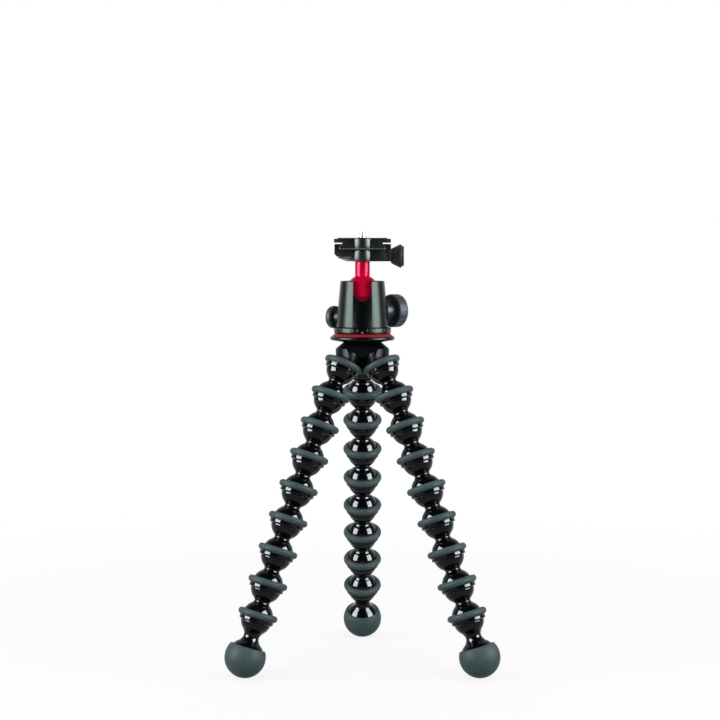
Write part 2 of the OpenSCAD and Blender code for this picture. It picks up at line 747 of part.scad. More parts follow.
module clamp_jaw() {
    color([0.08, 0.08, 0.09]) difference() {
        on_axis() bar(clamp_l, concat(
            [[jaw_left, clamp_foot], [jaw_right, clamp_foot], [jaw_right, jaw_top - chamfer],
             [jaw_right - chamfer, jaw_top]],
            jaw_flank(channel_z),
            [[jaw_left, channel_z]]
        ));
        at_height(clamp_screw_z) translate([jaw_left - bite, 0, 0]) rotate([0, 90, 0])
            cylinder(d = clamp_screw_d + 4 * run_gap, h = jaw_t + 2 * bite);
        for (side = [-1, 1]) at_height(clamp_screw_z)
            translate([jaw_left - bite, side * guide_pin_y, 0]) rotate([0, 90, 0])
                cylinder(d = guide_pin_d + 2 * run_gap, h = jaw_t - pin_wall + bite);
    }
}

module guide_pins() {
    color("silver") for (side = [-1, 1])
        at_height(clamp_screw_z) translate([stem_d / 2 + fit_gap, side * guide_pin_y, 0]) rotate([0, 90, 0])
            cylinder(d = guide_pin_d, h = jaw_right - pin_wall - face_gap - stem_d / 2 - fit_gap);
}

module clamp_screw() {
    color("silver") at_height(clamp_screw_z) translate([stem_d / 2 + 2, 0, 0]) rotate([0, 90, 0])
        cylinder(d = clamp_screw_d, h = bolt_right - stem_d / 2 - 2);
}

module clamp_knob() {
    side = clamp_knob_large_d / 2;
    color([0.17, 0.19, 0.23]) at_height(clamp_screw_z) rotate([0, 90, 0]) difference() {
        translate([0, 0, knob_left]) rotate_extrude() polygon([
            [0, 0], [clamp_knob_small_d / 2, 0], [side, clamp_knob_l - 2 * chamfer],
            [side, clamp_knob_l - chamfer], [side - chamfer, clamp_knob_l], [0, clamp_knob_l]
        ]);
        translate([0, 0, knob_left - bite])
            cylinder(d = clamp_screw_d + 2 * fit_gap, h = bolt_right - knob_left + bite + fit_gap);
    }
}

module clamp_knob_cap() {
    cap_r = clamp_knob_large_d / 2 - 2 * chamfer;
    color([0.05, 0.05, 0.06]) at_height(clamp_screw_z) rotate([0, 90, 0])
        translate([0, 0, knob_left + clamp_knob_l]) rotate_extrude() polygon([
            [0, 0], [cap_r, 0], [cap_r, clamp_cap_t - chamfer],
            [cap_r - chamfer, clamp_cap_t], [0, clamp_cap_t]
        ]);
}

module quick_plate() {
    head_room = camera_head_h + 3 * face_gap;
    head_play = 0.8;
    screw_play = 0.6;
    color([0.09, 0.09, 0.1]) difference() {
        on_axis() difference() {
            union() {
                bar(plate_l, [
                    [-neck_x, flange_z + bite], [-neck_x, neck_foot], [-foot_x, neck_foot - flank],
                    [-foot_x, plate_foot], [foot_x, plate_foot], [foot_x, neck_foot - flank],
                    [neck_x, neck_foot], [neck_x, flange_z + bite]
                ]);
                bar(plate_l, [
                    [-plate_w / 2, flange_z], [plate_w / 2, flange_z], [plate_w / 2, plate_top - chamfer],
                    [plate_w / 2 - chamfer, plate_top], [chamfer - plate_w / 2, plate_top],
                    [-plate_w / 2, plate_top - chamfer]
                ]);
                translate([0, plate_boss_y, plate_foot])
                    cylinder(r = front_boss_r, h = plate_top - plate_foot);
            }
            translate([0, plate_boss_y - front_boss_y, 0])
                boss_groove_cut(plate_foot - bite, plate_top - plate_foot + 2 * bite);
            translate([-pad_w / 2 - fit_gap, pad_front - fit_gap, plate_top - pad_inset])
                cube([pad_w + 2 * fit_gap, pad_l + 2 * fit_gap, pad_inset + bite]);
        }
        at_height(plate_foot - bite) cylinder(d = camera_head_d + head_play, h = head_room + bite);
        at_height(plate_foot) cylinder(d = camera_screw_d + screw_play, h = plate_top - plate_foot + bite);
    }
}

module plate_pad() {
    hole_d = camera_screw_d + 4;
    color([0.13, 0.13, 0.14]) difference() {
        on_axis() translate([-pad_w / 2, pad_front, plate_top - pad_inset + fit_gap])
            cube([pad_w, pad_l, pad_inset + pad_proud - fit_gap]);
        at_height(plate_top - pad_inset) cylinder(d = hole_d, h = pad_inset + pad_proud + bite);
    }
}

module camera_screw() {
    slot_w = 1.6;
    slot_h = 1.4;
    head_z = plate_foot + 2 * face_gap;
    // The shank is thinner than the thread, so that the screw stays in the plate
    shank_d = camera_screw_d - 2 * chamfer;
    color("silver") difference() {
        union() {
            at_height(head_z) cylinder(d = camera_head_d, h = camera_head_h);
            at_height(head_z) cylinder(d = shank_d, h = pad_top - head_z + bite);
            at_height(pad_top) cylinder(d = camera_screw_d, h = camera_screw_proud);
        }
        at_height(head_z - bite) translate([-camera_head_d, -slot_w / 2, 0])
            cube([2 * camera_head_d, slot_w, slot_h + bite]);
    }
}

for (leg = [0:2]) for (k = [1:SEGMENTS])
    segment(leg, k);
for (leg = [0:2])
    foot_cap(leg);
root_sockets();
root_rings();
hub_body();
head_stud();
base_disc();
base_ring();
degree_ring();
pan_spindle();
pan_washer();
housing();
housing_floor();
ball_seat();
ball_stem();
stem_screw();
main_knob_core();
main_knob_grip();
main_knob_stud();
lock_plunger();
pan_knob_core();
pan_knob_grip();
pan_knob_stud();
pan_brake_pad();
clamp_body();
clamp_jaw();
guide_pins();
clamp_screw();
clamp_knob();
clamp_knob_cap();
quick_plate();
plate_pad();
camera_screw();
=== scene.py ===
# Flexible leg tripod with a ball head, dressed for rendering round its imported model.
import json
import math

import bpy
from bpy.props import FloatProperty, FloatVectorProperty, IntProperty, PointerProperty
from mathutils import Matrix, Vector


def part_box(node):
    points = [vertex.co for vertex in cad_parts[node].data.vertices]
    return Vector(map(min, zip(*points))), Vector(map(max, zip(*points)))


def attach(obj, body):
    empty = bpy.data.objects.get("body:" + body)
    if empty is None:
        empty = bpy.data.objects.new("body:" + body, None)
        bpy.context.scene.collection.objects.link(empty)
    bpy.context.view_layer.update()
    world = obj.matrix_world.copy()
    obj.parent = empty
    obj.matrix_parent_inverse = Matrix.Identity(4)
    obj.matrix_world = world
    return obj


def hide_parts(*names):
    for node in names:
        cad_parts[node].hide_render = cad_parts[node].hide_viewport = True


bl_info = {
    "name": "Flexible Leg Tripod",
    "version": (1, 0, 0),
    "blender": (4, 5, 0),
    "location": "View3D > Sidebar > Tripod",
    "description": "Models the legs, ball head, clamp and studio of a flexible leg tripod",
    "category": "Object",
}

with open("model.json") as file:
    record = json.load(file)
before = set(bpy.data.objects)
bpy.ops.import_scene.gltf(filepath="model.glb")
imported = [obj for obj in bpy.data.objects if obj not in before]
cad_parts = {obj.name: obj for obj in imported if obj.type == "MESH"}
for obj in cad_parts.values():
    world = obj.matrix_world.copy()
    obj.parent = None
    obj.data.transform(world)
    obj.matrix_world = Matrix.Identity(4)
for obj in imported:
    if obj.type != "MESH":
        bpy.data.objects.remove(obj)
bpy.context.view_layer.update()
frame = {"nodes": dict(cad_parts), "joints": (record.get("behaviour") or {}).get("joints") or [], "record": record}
JOINTS = {joint["name"]: joint for joint in frame["joints"]}
MOUNTS = {mount["name"]: mount for mount in frame["record"]["mounts"]}
LEGS = ("left", "right", "rear")
SEGMENTS = 8
AXIS = Vector((MOUNTS["camera_thread"]["pos_m"][0], MOUNTS["camera_thread"]["pos_m"][1], 0.0))
UP = Vector((0.0, 0.0, 1.0))
# Play between two pieces that fit, and how far a cutter reaches past what it cuts, in metres
FIT = 0.00005
OVERCUT = 0.004
# Roundings of small edges, in metres
CRISP = 0.0002
MILD = 0.0003
SOFT = 0.0004
# Steps of the turned surfaces, and the angle in degrees from which an edge is shaded sharp
FINE_STEPS = 160
ROUND_STEPS = 128
KNOB_STEPS = 96
SCREW_STEPS = 64
SHARP = 32


# Settings
def length(name, description, default):
    """A size in metres."""
    return FloatProperty(name=name, description=description, default=default, unit="LENGTH", precision=5)


def colour(name, description, default):
    """A linear colour."""
    return FloatVectorProperty(
        name=name, description=description, default=default, subtype="COLOR", min=0.0, max=1.0
    )


def angle(name, description, degrees):
    """An angle, given in degrees."""
    return FloatProperty(name=name, description=description, default=math.radians(degrees), subtype="ANGLE")


def power(name, description, watts):
    """The power of a light in watts."""
    return FloatProperty(name=name, description=description, default=watts, unit="POWER")


def number(name, description, default):
    """A plain number."""
    return FloatProperty(name=name, description=description, default=default)


class LegSettings(bpy.types.PropertyGroup):
    """Sizes and colours of the legs."""

    ball: length("Ball", "Radius of a joint ball", 0.0128)
    cavity: length("Cavity", "Radius of the hollow that holds a ball", 0.013)
    bowl: length("Bowl", "Outer radius of a socket's bowl", 0.0127)
    bowl_drop: length("Bowl drop", "Depth of the bowl's middle below the centre", 0.0028)
    rim_side: length("Rim side", "Outer radius of a socket's rim", 0.0146)
    rim: length("Rim", "Height of a socket's rim above its centre", 0.0034)
    band: length("Band", "Radius of the band under the rubber ring", 0.0142)
    band_foot: length("Band foot", "Depth of the band's foot below the centre", 0.00475)
    neck: length("Neck", "Radius of a neck", 0.0064)
    flare: length("Flare", "Radius where a neck meets its bowl and ball", 0.0084)
    ring: length("Ring", "Outer radius of a rubber ring", 0.0165)
    ring_top: length("Ring top", "Height of a ring's top above the centre", 0.0042)
    ring_foot: length("Ring foot", "Depth of a ring's foot below the centre", 0.0012)
    ring_round: length("Ring rounding", "Rounding of a ring's outer edges", 0.0026)
    foot_ball: length("Foot ball", "Radius of the ball inside a foot", 0.0153)
    foot: length("Foot", "Outer radius of a foot's rubber cap", 0.0169)
    foot_rim: length("Foot rim", "Height of the cap's rim above the foot's centre", 0.0085)
    foot_height: length("Foot height", "Height of a foot's centre above the floor", 0.0166)
    root_tilt: angle("Root tilt", "Tilt of the root sockets", 27)
    hub_edge: length("Hub edge", "Width of the hub's broken edges", 0.0004)
    steps: IntProperty(name="Steps", description="Steps of a turned surface", default=72, min=12)
    plastic: colour("Plastic", "Colour of the segments", (0.0018, 0.0028, 0.004))
    rubber: colour("Rubber", "Colour of the rings and feet", (0.066, 0.102, 0.106))
    hub: colour("Hub", "Colour of the hub", (0.003, 0.0036, 0.0044))


class HeadSettings(bpy.types.PropertyGroup):
    """Sizes and colours of the ball head."""

    rounding: length("Rounding", "Rounding of the turned edges", 0.0007)
    top: length("Top", "Outer radius of the housing's top", 0.0184)
    notch: length("Notch", "Half width of the stem notch", 0.00745)
    ball: length("Ball", "Radius of the ball", 0.0145)
    cavity: length("Cavity", "Radius of the hollow round the ball", 0.0147)
    chamber: length("Chamber", "Radius of the chamber under the ball", 0.0152)
    stem: length("Stem", "Radius of the stem", 0.0062)
    floor: length("Floor", "Radius of the housing's threaded floor", 0.01755)
    floor_height: length("Floor height", "Depth of the recess for that floor", 0.005)
    boss: length("Boss", "Radius of the boss under the rings", 0.0158)
    neck: length("Neck", "Radius of the base disc's underside", 0.0157)
    spindle: length("Spindle", "Radius of the bore for the pan spindle", 0.00505)
    stud: length("Stud", "Radius of the bore for the head stud", 0.00482)
    stud_rise: length("Stud rise", "Depth of the bore for the head stud", 0.0042)
    lip: length("Lip", "Thickness of the base disc's lip", 0.0034)
    lip_round: length("Lip rounding", "Rounding of that lip", 0.0015)
    bevel: length("Bevel", "Bevel round the degree ring's lower edge", 0.0009)
    main_stud: length("Main stud", "Radius of the bore for the main knob's stud", 0.00305)
    pan_stud: length("Pan stud", "Radius of the bore for the pan knob's stud", 0.00255)
    screw: length("Screw", "Radius of the bore for the stem screw", 0.00255)
    screw_depth: length("Screw depth", "Depth of that bore", 0.01)
    tick_short: length("Short tick", "Length of a ten degree mark", 0.0022)
    tick_long: length("Long tick", "Length of a thirty degree mark", 0.0033)
    tick_width: length("Tick width", "Width of a mark", 0.00026)
    grip: length("Grip", "Radial thickness of the knobs' rubber", 0.0026)
    black: colour("Black", "Colour of the black anodised metal", (0.0056, 0.0068, 0.0061))
    red: colour("Red", "Colour of the ball and stem", (0.8, 0.004, 0.05))
    ring_red: colour("Ring red", "Colour of the base ring", (0.36, 0.012, 0.028))
    knob: colour("Knob", "Colour of the knobs' rubber", (0.042, 0.049, 0.064))
    core: colour("Core", "Colour of the knobs' cores", (0.026, 0.03, 0.039))
    mark: colour("Mark", "Colour of the printed marks", (0.42, 0.44, 0.43))


class ClampSettings(bpy.types.PropertyGroup):
    """Sizes and colours of the clamp and its plate."""

    edge: length("Edge", "Width of the broken edges", 0.00028)
    knob: length("Knob", "Radius of the clamp knob's small end", 0.0058)
    thread: length("Thread", "Pitch of the camera screw's thread", 0.00127)
    black: colour("Black", "Colour of the clamp and plate", (0.0058, 0.0067, 0.0062))
    pad: colour("Pad", "Colour of the rubber pad", (0.02, 0.021, 0.022))
    steel: colour("Steel", "Colour of the screws and pins", (0.56, 0.56, 0.55))
    brass: colour("Brass", "Colour of the plunger and brake pad", (0.68, 0.47, 0.17))
    bearing: colour("Bearing", "Colour of the sliding plastic inside", (0.03, 0.03, 0.032))


class StageSettings(bpy.types.PropertyGroup):
    """Camera, lights and floor."""

    distance: length("Distance", "Distance from the lens to the upright axis", 1.56)
    eye: length("Eye height", "Height of the lens above the floor", 0.3437)
    lens: number("Lens", "Focal length in millimetres", 93.4)
    drop: angle("Drop", "How far the camera looks down", 3.224)
    aside: angle("Aside", "How far the camera looks aside", 0.0747)
    softbox: power("Softbox", "Power of each softbox", 10.0)
    card: power("Card", "Power of each card that only shines", 150.0)
    card_tint: colour("Card tint", "Colour of those cards", (0.9, 0.97, 1.0))
    card_turn: angle("Card turn", "Angle of the softboxes from the front", 65)
    card_reach: length("Card reach", "Distance of the softboxes from the upright axis", 1.25)
    card_height: length("Card height", "Height of the softboxes' middles", 0.57)
    card_width: length("Card width", "Width of the softboxes", 0.9)
    card_tall: length("Card length", "Length of the softboxes", 0.95)
    overhead: power("Overhead", "Power of the overhead light", 14.0)
    ambient: number("Ambient", "Strength of the light all round", 0.32)
    front: number("Front", "Brightness of the room in front, in reflections", 0.04)
    floor: colour("Floor", "Colour of the floor", (0.93, 0.93, 0.93))
    bounce: colour("Bounce", "Colour of the floor for the light it throws back", (0.45, 0.45, 0.45))
    near: number("Near", "Share of plain white in the floor under the object", 0.84)
    near_end: length("Near end", "Distance where the floor starts to turn plain white", 0.3)
    far_start: length("Far start", "Distance from where the floor is plain white", 0.9)


# Modelling steps
def pick(piece):
    """Select one piece and nothing else."""
    bpy.ops.object.select_all(action="DESELECT")
    piece.select_set(True)
    bpy.context.view_layer.objects.active = piece


def start(name, add, **sizes):
    """Add a primitive with nothing else selected, and name it."""
    bpy.ops.object.select_all(action="DESELECT")
    add(**sizes)
    piece = bpy.context.object
    piece.name = name
    piece.data.name = name
    return piece


def draw(name, points):
    """Start a piece as a chain of edges, by extruding one point along the given ones. Stays in edit mode."""
    piece = start(name, bpy.ops.mesh.primitive_plane_add, size=0.001)
    bpy.ops.object.mode_set(mode="EDIT")
    bpy.ops.mesh.select_all(action="SELECT")
    bpy.ops.mesh.merge(type="CENTER")
    here = Vector((0.0, 0.0, 0.0))
    for index, point in enumerate(points):
        there = Vector(point)
        if index == 0:
            bpy.ops.transform.translate(value=there)
        else:
            bpy.ops.mesh.extrude_region_move(TRANSFORM_OT_translate={"value": there - here})
        here = there
    return piece


def close_up():
    """Merge the doubles of what is being edited and point its faces outwards."""
    bpy.ops.mesh.select_all(action="SELECT")
    bpy.ops.mesh.remove_doubles(threshold=1e-6)
    bpy.ops.mesh.normals_make_consistent(inside=False)
    bpy.ops.object.mode_set(mode="OBJECT")


def turned(name, section, steps):
    """Spin a half section of (radius, height) round the Z axis."""
    piece = draw(name, [(radius, 0.0, height) for radius, height in section])
    bpy.ops.mesh.select_all(action="SELECT")
    bpy.ops.mesh.spin(steps=steps, angle=2 * math.pi, center=(0, 0, 0), axis=(0, 0, 1), use_auto_merge=True)
    close_up()
    smooth(piece)
    return piece


def smooth(piece, degrees=SHARP):
    """Shade a piece smooth, apart from its sharp edges."""
    pick(piece)
    bpy.ops.object.shade_smooth_by_angle(angle=math.radians(degrees))


def apply(piece, kind, **settings):
    """Add a modifier with these settings and apply it."""
    pick(piece)
    modifier = piece.modifiers.new(kind.title(), kind)
    for key, value in settings.items():
        setattr(modifier, key, value)
    bpy.ops.object.modifier_apply(modifier=modifier.name)


def cut(piece, cutter, operation="DIFFERENCE"):
    """Cut a piece with another one, which is used up."""
    apply(piece, "BOOLEAN", operation=operation, object=cutter, solver="EXACT")
    bpy.data.objects.remove(cutter)


def break_edges(piece, width, segments=2, degrees=35):
    """Bevel the sharp edges of a piece and shade it."""
    apply(
        piece, "BEVEL", width=width, segments=segments, limit_method="ANGLE",
        angle_limit=math.radians(degrees), miter_outer="MITER_ARC",
    )
    smooth(piece, degrees)


def place(piece, matrix):
    """Move a piece and put the move into its mesh."""
    pick(piece)
    piece.matrix_world = matrix
    bpy.ops.object.transform_apply(location=True, rotation=True, scale=True)
    return piece


def copy_to(piece, name, matrix):
    """A copy of a piece, with its own mesh, moved to its place."""
    pick(piece)
    bpy.ops.object.duplicate(linked=False)
    twin = bpy.context.object
    twin.name = name
    twin.data.name = name
    return place(twin, matrix)


def copy_of_node(node, name):
    """A merged copy of a CAD node, to be worked on."""
    piece = bpy.data.objects.new(name, frame["nodes"][node].data.copy())
    piece.data.name = name
    bpy.context.scene.collection.objects.link(piece)
    piece.data.materials.clear()
    pick(piece)
    bpy.ops.object.mode_set(mode="EDIT")
    bpy.ops.mesh.select_all(action="SELECT")
    bpy.ops.mesh.remove_doubles(threshold=2e-6)
    bpy.ops.mesh.dissolve_limited(angle_limit=math.radians(0.6))
    bpy.ops.object.mode_set(mode="OBJECT")
    return piece


def hand_over(piece, body, kind, nodes=()):
    """Give a finished piece its material, its body and the nodes that it stands for."""
    piece.data.materials.clear()
    piece.data.materials.append(coated(kind))
    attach(piece, body)
    if nodes:
        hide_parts(*nodes)


# Sections
def arc(centre, radius, first, last, steps):
    """Points on an arc in a half section, from one angle in degrees to another."""
    points = []
    for step in range(steps + 1):
        angle = math.radians(first + (last - first) * step / steps)
        points.append((centre[0] + radius * math.cos(angle), centre[1] + radius * math.sin(angle)))
    return points


def curve(first, corner, last, steps):
    """Points on a smooth curve that leaves and arrives along the lines through a corner."""
    points = []
    for step in range(steps + 1):
        t = step / steps
        shares = ((1 - t) ** 2, 2 * t * (1 - t), t * t)
        points.append(tuple(sum(s * p[i] for s, p in zip(shares, (first, corner, last))) for i in (0, 1)))
    return points


def soften(corners, steps=4):
    """A section whose corners (radius, height, rounding) are rounded off."""
    section = []
    for index, (x, y, rounding) in enumerate(corners):
        if rounding == 0:
            section.append((x, y))
            continue
        here = Vector((x, y))
        before = (Vector(corners[index - 1][:2]) - here).normalized() * rounding
        after = (Vector(corners[(index + 1) % len(corners)][:2]) - here).normalized() * rounding
        section += curve(here + before, here, here + after, steps)
    return section


def closed(section):
    """A section whose last point is its first."""
    return section + section[:1]


# Shared surface effects
def new_group(name, inputs, outputs):
    """An empty shader node group that takes a vector and numbers, and puts out numbers."""
    group = bpy.data.node_groups.new(name, "ShaderNodeTree")
    group.interface.new_socket("Vector", in_out="INPUT", socket_type="NodeSocketVector")
    for way, sockets in (("INPUT", inputs), ("OUTPUT", outputs)):
        for socket in sockets:
            group.interface.new_socket(socket, in_out=way, socket_type="NodeSocketFloat")
    return group, group.nodes.new("NodeGroupInput"), group.nodes.new("NodeGroupOutput")


def combine(tree, operation, first, second):
    """The result of a math node that takes two sockets."""
    node = tree.nodes.new("ShaderNodeMath")
    node.operation = operation
    tree.links.new(first, node.inputs[0])
    tree.links.new(second, node.inputs[1])
    return node.outputs["Value"]


def grain_group():
    """Fine moulded grain, and a slow unevenness of colour and shine."""
    name = "Moulded Grain"
    if name in bpy.data.node_groups:
        return bpy.data.node_groups[name]
    group, given, made = new_group(name, ("Grain Scale", "Patch Scale"), ("Height", "Patches"))
    grain = group.nodes.new("ShaderNodeTexNoise")
    grain.inputs["Detail"].default_value = 3.0
    patches = group.nodes.new("ShaderNodeTexNoise")
    patches.inputs["Detail"].default_value = 4.0
    join = group.links.new
    join(given.outputs["Vector"], grain.inputs["Vector"])
    join(given.outputs["Grain Scale"], grain.inputs["Scale"])
    join(given.outputs["Vector"], patches.inputs["Vector"])
    join(given.outputs["Patch Scale"], patches.inputs["Scale"])
    join(grain.outputs["Fac"], made.inputs["Height"])
    join(patches.outputs["Fac"], made.inputs["Patches"])
    return group


def dust_group():
    """Small pale specks of dust."""
    name = "Dust Specks"
    if name in bpy.data.node_groups:
        return bpy.data.node_groups[name]
    group, given, made = new_group(name, ("Speck Scale", "Amount"), ("Mask",))
    specks = group.nodes.new("ShaderNodeTexNoise")
    specks.inputs["Detail"].default_value = 6.0
    specks.inputs["Roughness"].default_value = 0.7
    limit = group.nodes.new("ShaderNodeMapRange")
    limit.inputs["From Min"].default_value = 0.58
    limit.inputs["From Max"].default_value = 0.78
    join = group.links.new
    join(given.outputs["Vector"], specks.inputs["Vector"])
    join(given.outputs["Speck Scale"], specks.inputs["Scale"])
    join(specks.outputs["Fac"], limit.inputs["Value"])
    share = combine(group, "MULTIPLY", limit.outputs["Result"], given.outputs["Amount"])
    join(share, made.inputs["Mask"])
    return group


def finish(name, tint, rough, rough_spread, grain, bump, patch, metal=0.0, spread=0.12,
           stretch=(1.0, 1.0, 1.0), dust=0.0, specular=0.5):
    """A material with grain, uneven shine and a little dust."""
    if name in bpy.data.materials:
        return bpy.data.materials[name]
    material = bpy.data.materials.new(name)
    material.use_nodes = True
    nodes = material.node_tree.nodes
    join = material.node_tree.links.new
    shader = nodes["Principled BSDF"]
    shader.inputs["Metallic"].default_value = metal
    shader.inputs["Specular IOR Level"].default_value = specular
    place_node = nodes.new("ShaderNodeTexCoord")
    mapping = nodes.new("ShaderNodeMapping")
    mapping.inputs["Scale"].default_value = stretch
    join(place_node.outputs["Object"], mapping.inputs["Vector"])
    surface = nodes.new("ShaderNodeGroup")
    surface.node_tree = grain_group()
    surface.inputs["Grain Scale"].default_value = grain
    surface.inputs["Patch Scale"].default_value = patch
    join(mapping.outputs["Vector"], surface.inputs["Vector"])
    shade = nodes.new("ShaderNodeMix")
    shade.data_type = "RGBA"
    shade.inputs["A"].default_value = (*[value * (1 - spread) for value in tint], 1.0)
    shade.inputs["B"].default_value = (*[min(1.0, value * (1 + spread)) for value in tint], 1.0)
    join(surface.outputs["Patches"], shade.inputs["Factor"])
    specks = nodes.new("ShaderNodeGroup")
    specks.node_tree = dust_group()
    specks.inputs["Speck Scale"].default_value = patch * 8
    specks.inputs["Amount"].default_value = dust
    join(place_node.outputs["Object"], specks.inputs["Vector"])
    dusty = nodes.new("ShaderNodeMix")
    dusty.data_type = "RGBA"
    dusty.inputs["B"].default_value = (*[min(1.0, value * 1.6 + 0.02) for value in tint], 1.0)
    join(specks.outputs["Mask"], dusty.inputs["Factor"])
    join(shade.outputs["Result"], dusty.inputs["A"])
    join(dusty.outputs["Result"], shader.inputs["Base Color"])
    shine = nodes.new("ShaderNodeMapRange")
    shine.inputs["To Min"].default_value = max(0.02, rough - rough_spread)
    shine.inputs["To Max"].default_value = min(1.0, rough + rough_spread)
    join(surface.outputs["Patches"], shine.inputs["Value"])
    join(shine.outputs["Result"], shader.inputs["Roughness"])
    relief = nodes.new("ShaderNodeBump")
    relief.inputs["Strength"].default_value = bump
    relief.inputs["Distance"].default_value = 0.0001
    join(surface.outputs["Height"], relief.inputs["Height"])
    join(relief.outputs["Normal"], shader.inputs["Normal"])
    return material


TURNED = dict(grain=900.0, bump=0.08, patch=300.0, metal=1.0, stretch=(0.15, 0.15, 4.0))
# Each finish: material, slot in the record, settings and colour, roughness and its spread, and the rest
FINISHES = {
    "leg_plastic": ("Gloss Segment Plastic", "leg_plastic", "tripod_legs", "plastic", 0.09, 0.02, dict(
        grain=900.0, bump=0.03, patch=45.0, specular=0.14)),
    "leg_rubber": ("Grey Grip Rubber", "leg_rubber", "tripod_legs", "rubber", 0.52, 0.07, dict(
        grain=3200.0, bump=0.22, patch=90.0, spread=0.16, dust=0.12, specular=0.04)),
    "hub_plastic": ("Satin Hub Plastic", "hub_plastic", "tripod_legs", "hub", 0.3, 0.04, dict(
        grain=3000.0, bump=0.1, patch=70.0, specular=0.035)),
    "black_metal": ("Black Anodised Head", "black_metal", "tripod_head", "black", 0.29, 0.03, dict(
        grain=4200.0, bump=0.08, patch=120.0, metal=1.0, spread=0.08)),
    "clamp_metal": ("Black Anodised Clamp", "black_metal", "tripod_clamp", "black", 0.34, 0.04, dict(
        grain=3600.0, bump=0.1, patch=140.0, metal=0.8)),
    "red_metal": ("Red Anodised Ball", "red_metal", "tripod_head", "red", 0.2, 0.03, dict(
        grain=2600.0, bump=0.04, patch=80.0, metal=0.04, spread=0.06, specular=0.03)),
    "ring_metal": ("Red Base Ring", "red_ring", "tripod_head", "ring_red", 0.4, 0.04, dict(
        grain=3000.0, bump=0.08, patch=90.0, specular=0.1)),
    "knob_rubber": ("Knob Rubber", "knob_rubber", "tripod_head", "knob", 0.5, 0.06, dict(
        grain=3600.0, bump=0.2, patch=110.0, dust=0.1, specular=0.1)),
    "knob_plastic": ("Knob Core Plastic", "knob_plastic", "tripod_head", "core", 0.45, 0.05, dict(
        grain=2600.0, bump=0.12, patch=90.0, specular=0.14)),
    "mark_paint": ("Printed Marks", None, "tripod_head", "mark", 0.6, 0.05, dict(
        grain=5000.0, bump=0.06, patch=400.0, spread=0.08, specular=0.1)),
    "pad_rubber": ("Pad Rubber", "pad_rubber", "tripod_clamp", "pad", 0.7, 0.06, dict(
        grain=2600.0, bump=0.3, patch=90.0, dust=0.2, specular=0.1)),
    "steel": ("Turned Steel", "steel", "tripod_clamp", "steel", 0.3, 0.08, TURNED),
    "brass": ("Turned Brass", None, "tripod_clamp", "brass", 0.32, 0.08, TURNED),
    "bearing_plastic": ("Bearing Plastic", None, "tripod_clamp", "bearing", 0.45, 0.05, dict(
        grain=2000.0, bump=0.08, patch=80.0)),
}


def coated(kind):
    """The material of a finish, in the colour that the settings give."""
    name, slot, group, tint, rough, rough_spread, rest = FINISHES[kind]
    colour_now = getattr(getattr(bpy.context.scene, group), tint)
    return finish(name, colour_now, rough, rough_spread, **rest)


# Places
def upright(height):
    """The place on the upright axis at a height."""
    return Matrix.Translation(AXIS + UP * height)


def pointing(at, direction):
    """A place whose -Z runs along a direction."""
    return Matrix.Translation(at) @ direction.to_track_quat("-Z", "Y").to_matrix().to_4x4()


def leg_chain(leg):
    """Socket centres of a leg from its first segment to its foot."""
    chain = [Vector(JOINTS[f"leg_{leg}_joint_{k}"]["pos_m"]) for k in range(1, SEGMENTS + 1)]
    height = bpy.context.scene.tripod_legs.foot_height
    return chain + [Vector(MOUNTS[f"foot_{leg}"]["pos_m"]) + UP * height]


def root_place(leg):
    """Place of a leg's root socket on the hub."""
    legs = bpy.context.scene.tripod_legs
    chain = leg_chain(leg)
    out = chain[0] - AXIS
    out.z = 0.0
    out.normalize()
    pitch = (chain[1] - chain[0]).length
    direction = out * math.sin(legs.root_tilt) - UP * math.cos(legs.root_tilt)
    return pointing(chain[0] - direction * pitch, direction)


def segment_section(legs, reach, end):
    """Half section of a segment: hollow, rim, band, bowl, neck and end ball."""
    deep = math.degrees(math.asin(legs.rim / legs.cavity))
    section = arc((0, 0), legs.cavity, -90, deep, 14)
    foot_r = math.sqrt(legs.bowl ** 2 - (legs.band_foot - legs.bowl_drop) ** 2)
    section += soften([
        (legs.rim_side - 0.0006, legs.rim, 0.0), (legs.rim_side, legs.rim, MILD),
        (legs.rim_side, -legs.ring_foot, CRISP), (legs.band, -legs.ring_foot - 0.0004, CRISP),
        (legs.band, -legs.band_foot + 0.0005, 0.0007), (foot_r + 0.0001, -legs.band_foot, MILD),
        (foot_r - 0.0001, -legs.band_foot - 0.0004, 0.0),
    ])
    first = -math.degrees(math.asin((legs.band_foot - legs.bowl_drop + 0.0005) / legs.bowl))
    last = -math.degrees(math.acos(legs.flare / legs.bowl))
    section += arc((0, -legs.bowl_drop), legs.bowl, first, last, 12)
    top = section[-1]
    low = (legs.flare, math.sqrt(end ** 2 - legs.flare ** 2) - reach)
    middle = (legs.neck, (top[1] + low[1]) / 2)
    lean = 0.42 * (top[1] - low[1]) / 2
    section += curve(top, (legs.neck, middle[1] + lean), middle, 6)[1:]
    section += curve(middle, (legs.neck, middle[1] - lean), low, 6)[1:]
    section += arc((0, -reach), end, math.degrees(math.acos(legs.flare / end)), -90, 20)[1:]
    section[0] = (0.0, section[0][1])
    section[-1] = (0.0, section[-1][1])
    return section


def ring_section(legs):
    """Half section of a rubber ring that laps over its socket's rim."""
    inner = legs.rim_side + FIT
    rest = legs.rim + FIT
    lip = math.sqrt(legs.cavity ** 2 - legs.rim ** 2)
    side = legs.ring - legs.ring_round
    first = -math.degrees(math.acos((inner - side) / legs.ring_round))
    section = arc((side, legs.ring_round - legs.ring_foot), legs.ring_round, first, 0, 8)
    section += arc((side, legs.ring_top - legs.ring_round), legs.ring_round, 0, 90, 10)
    section += soften([
        (side, legs.ring_top, 0.0), (lip, legs.ring_top, MILD), (lip, rest, 0.0), (inner, rest, 0.0),
    ])[1:]
    return closed(section)


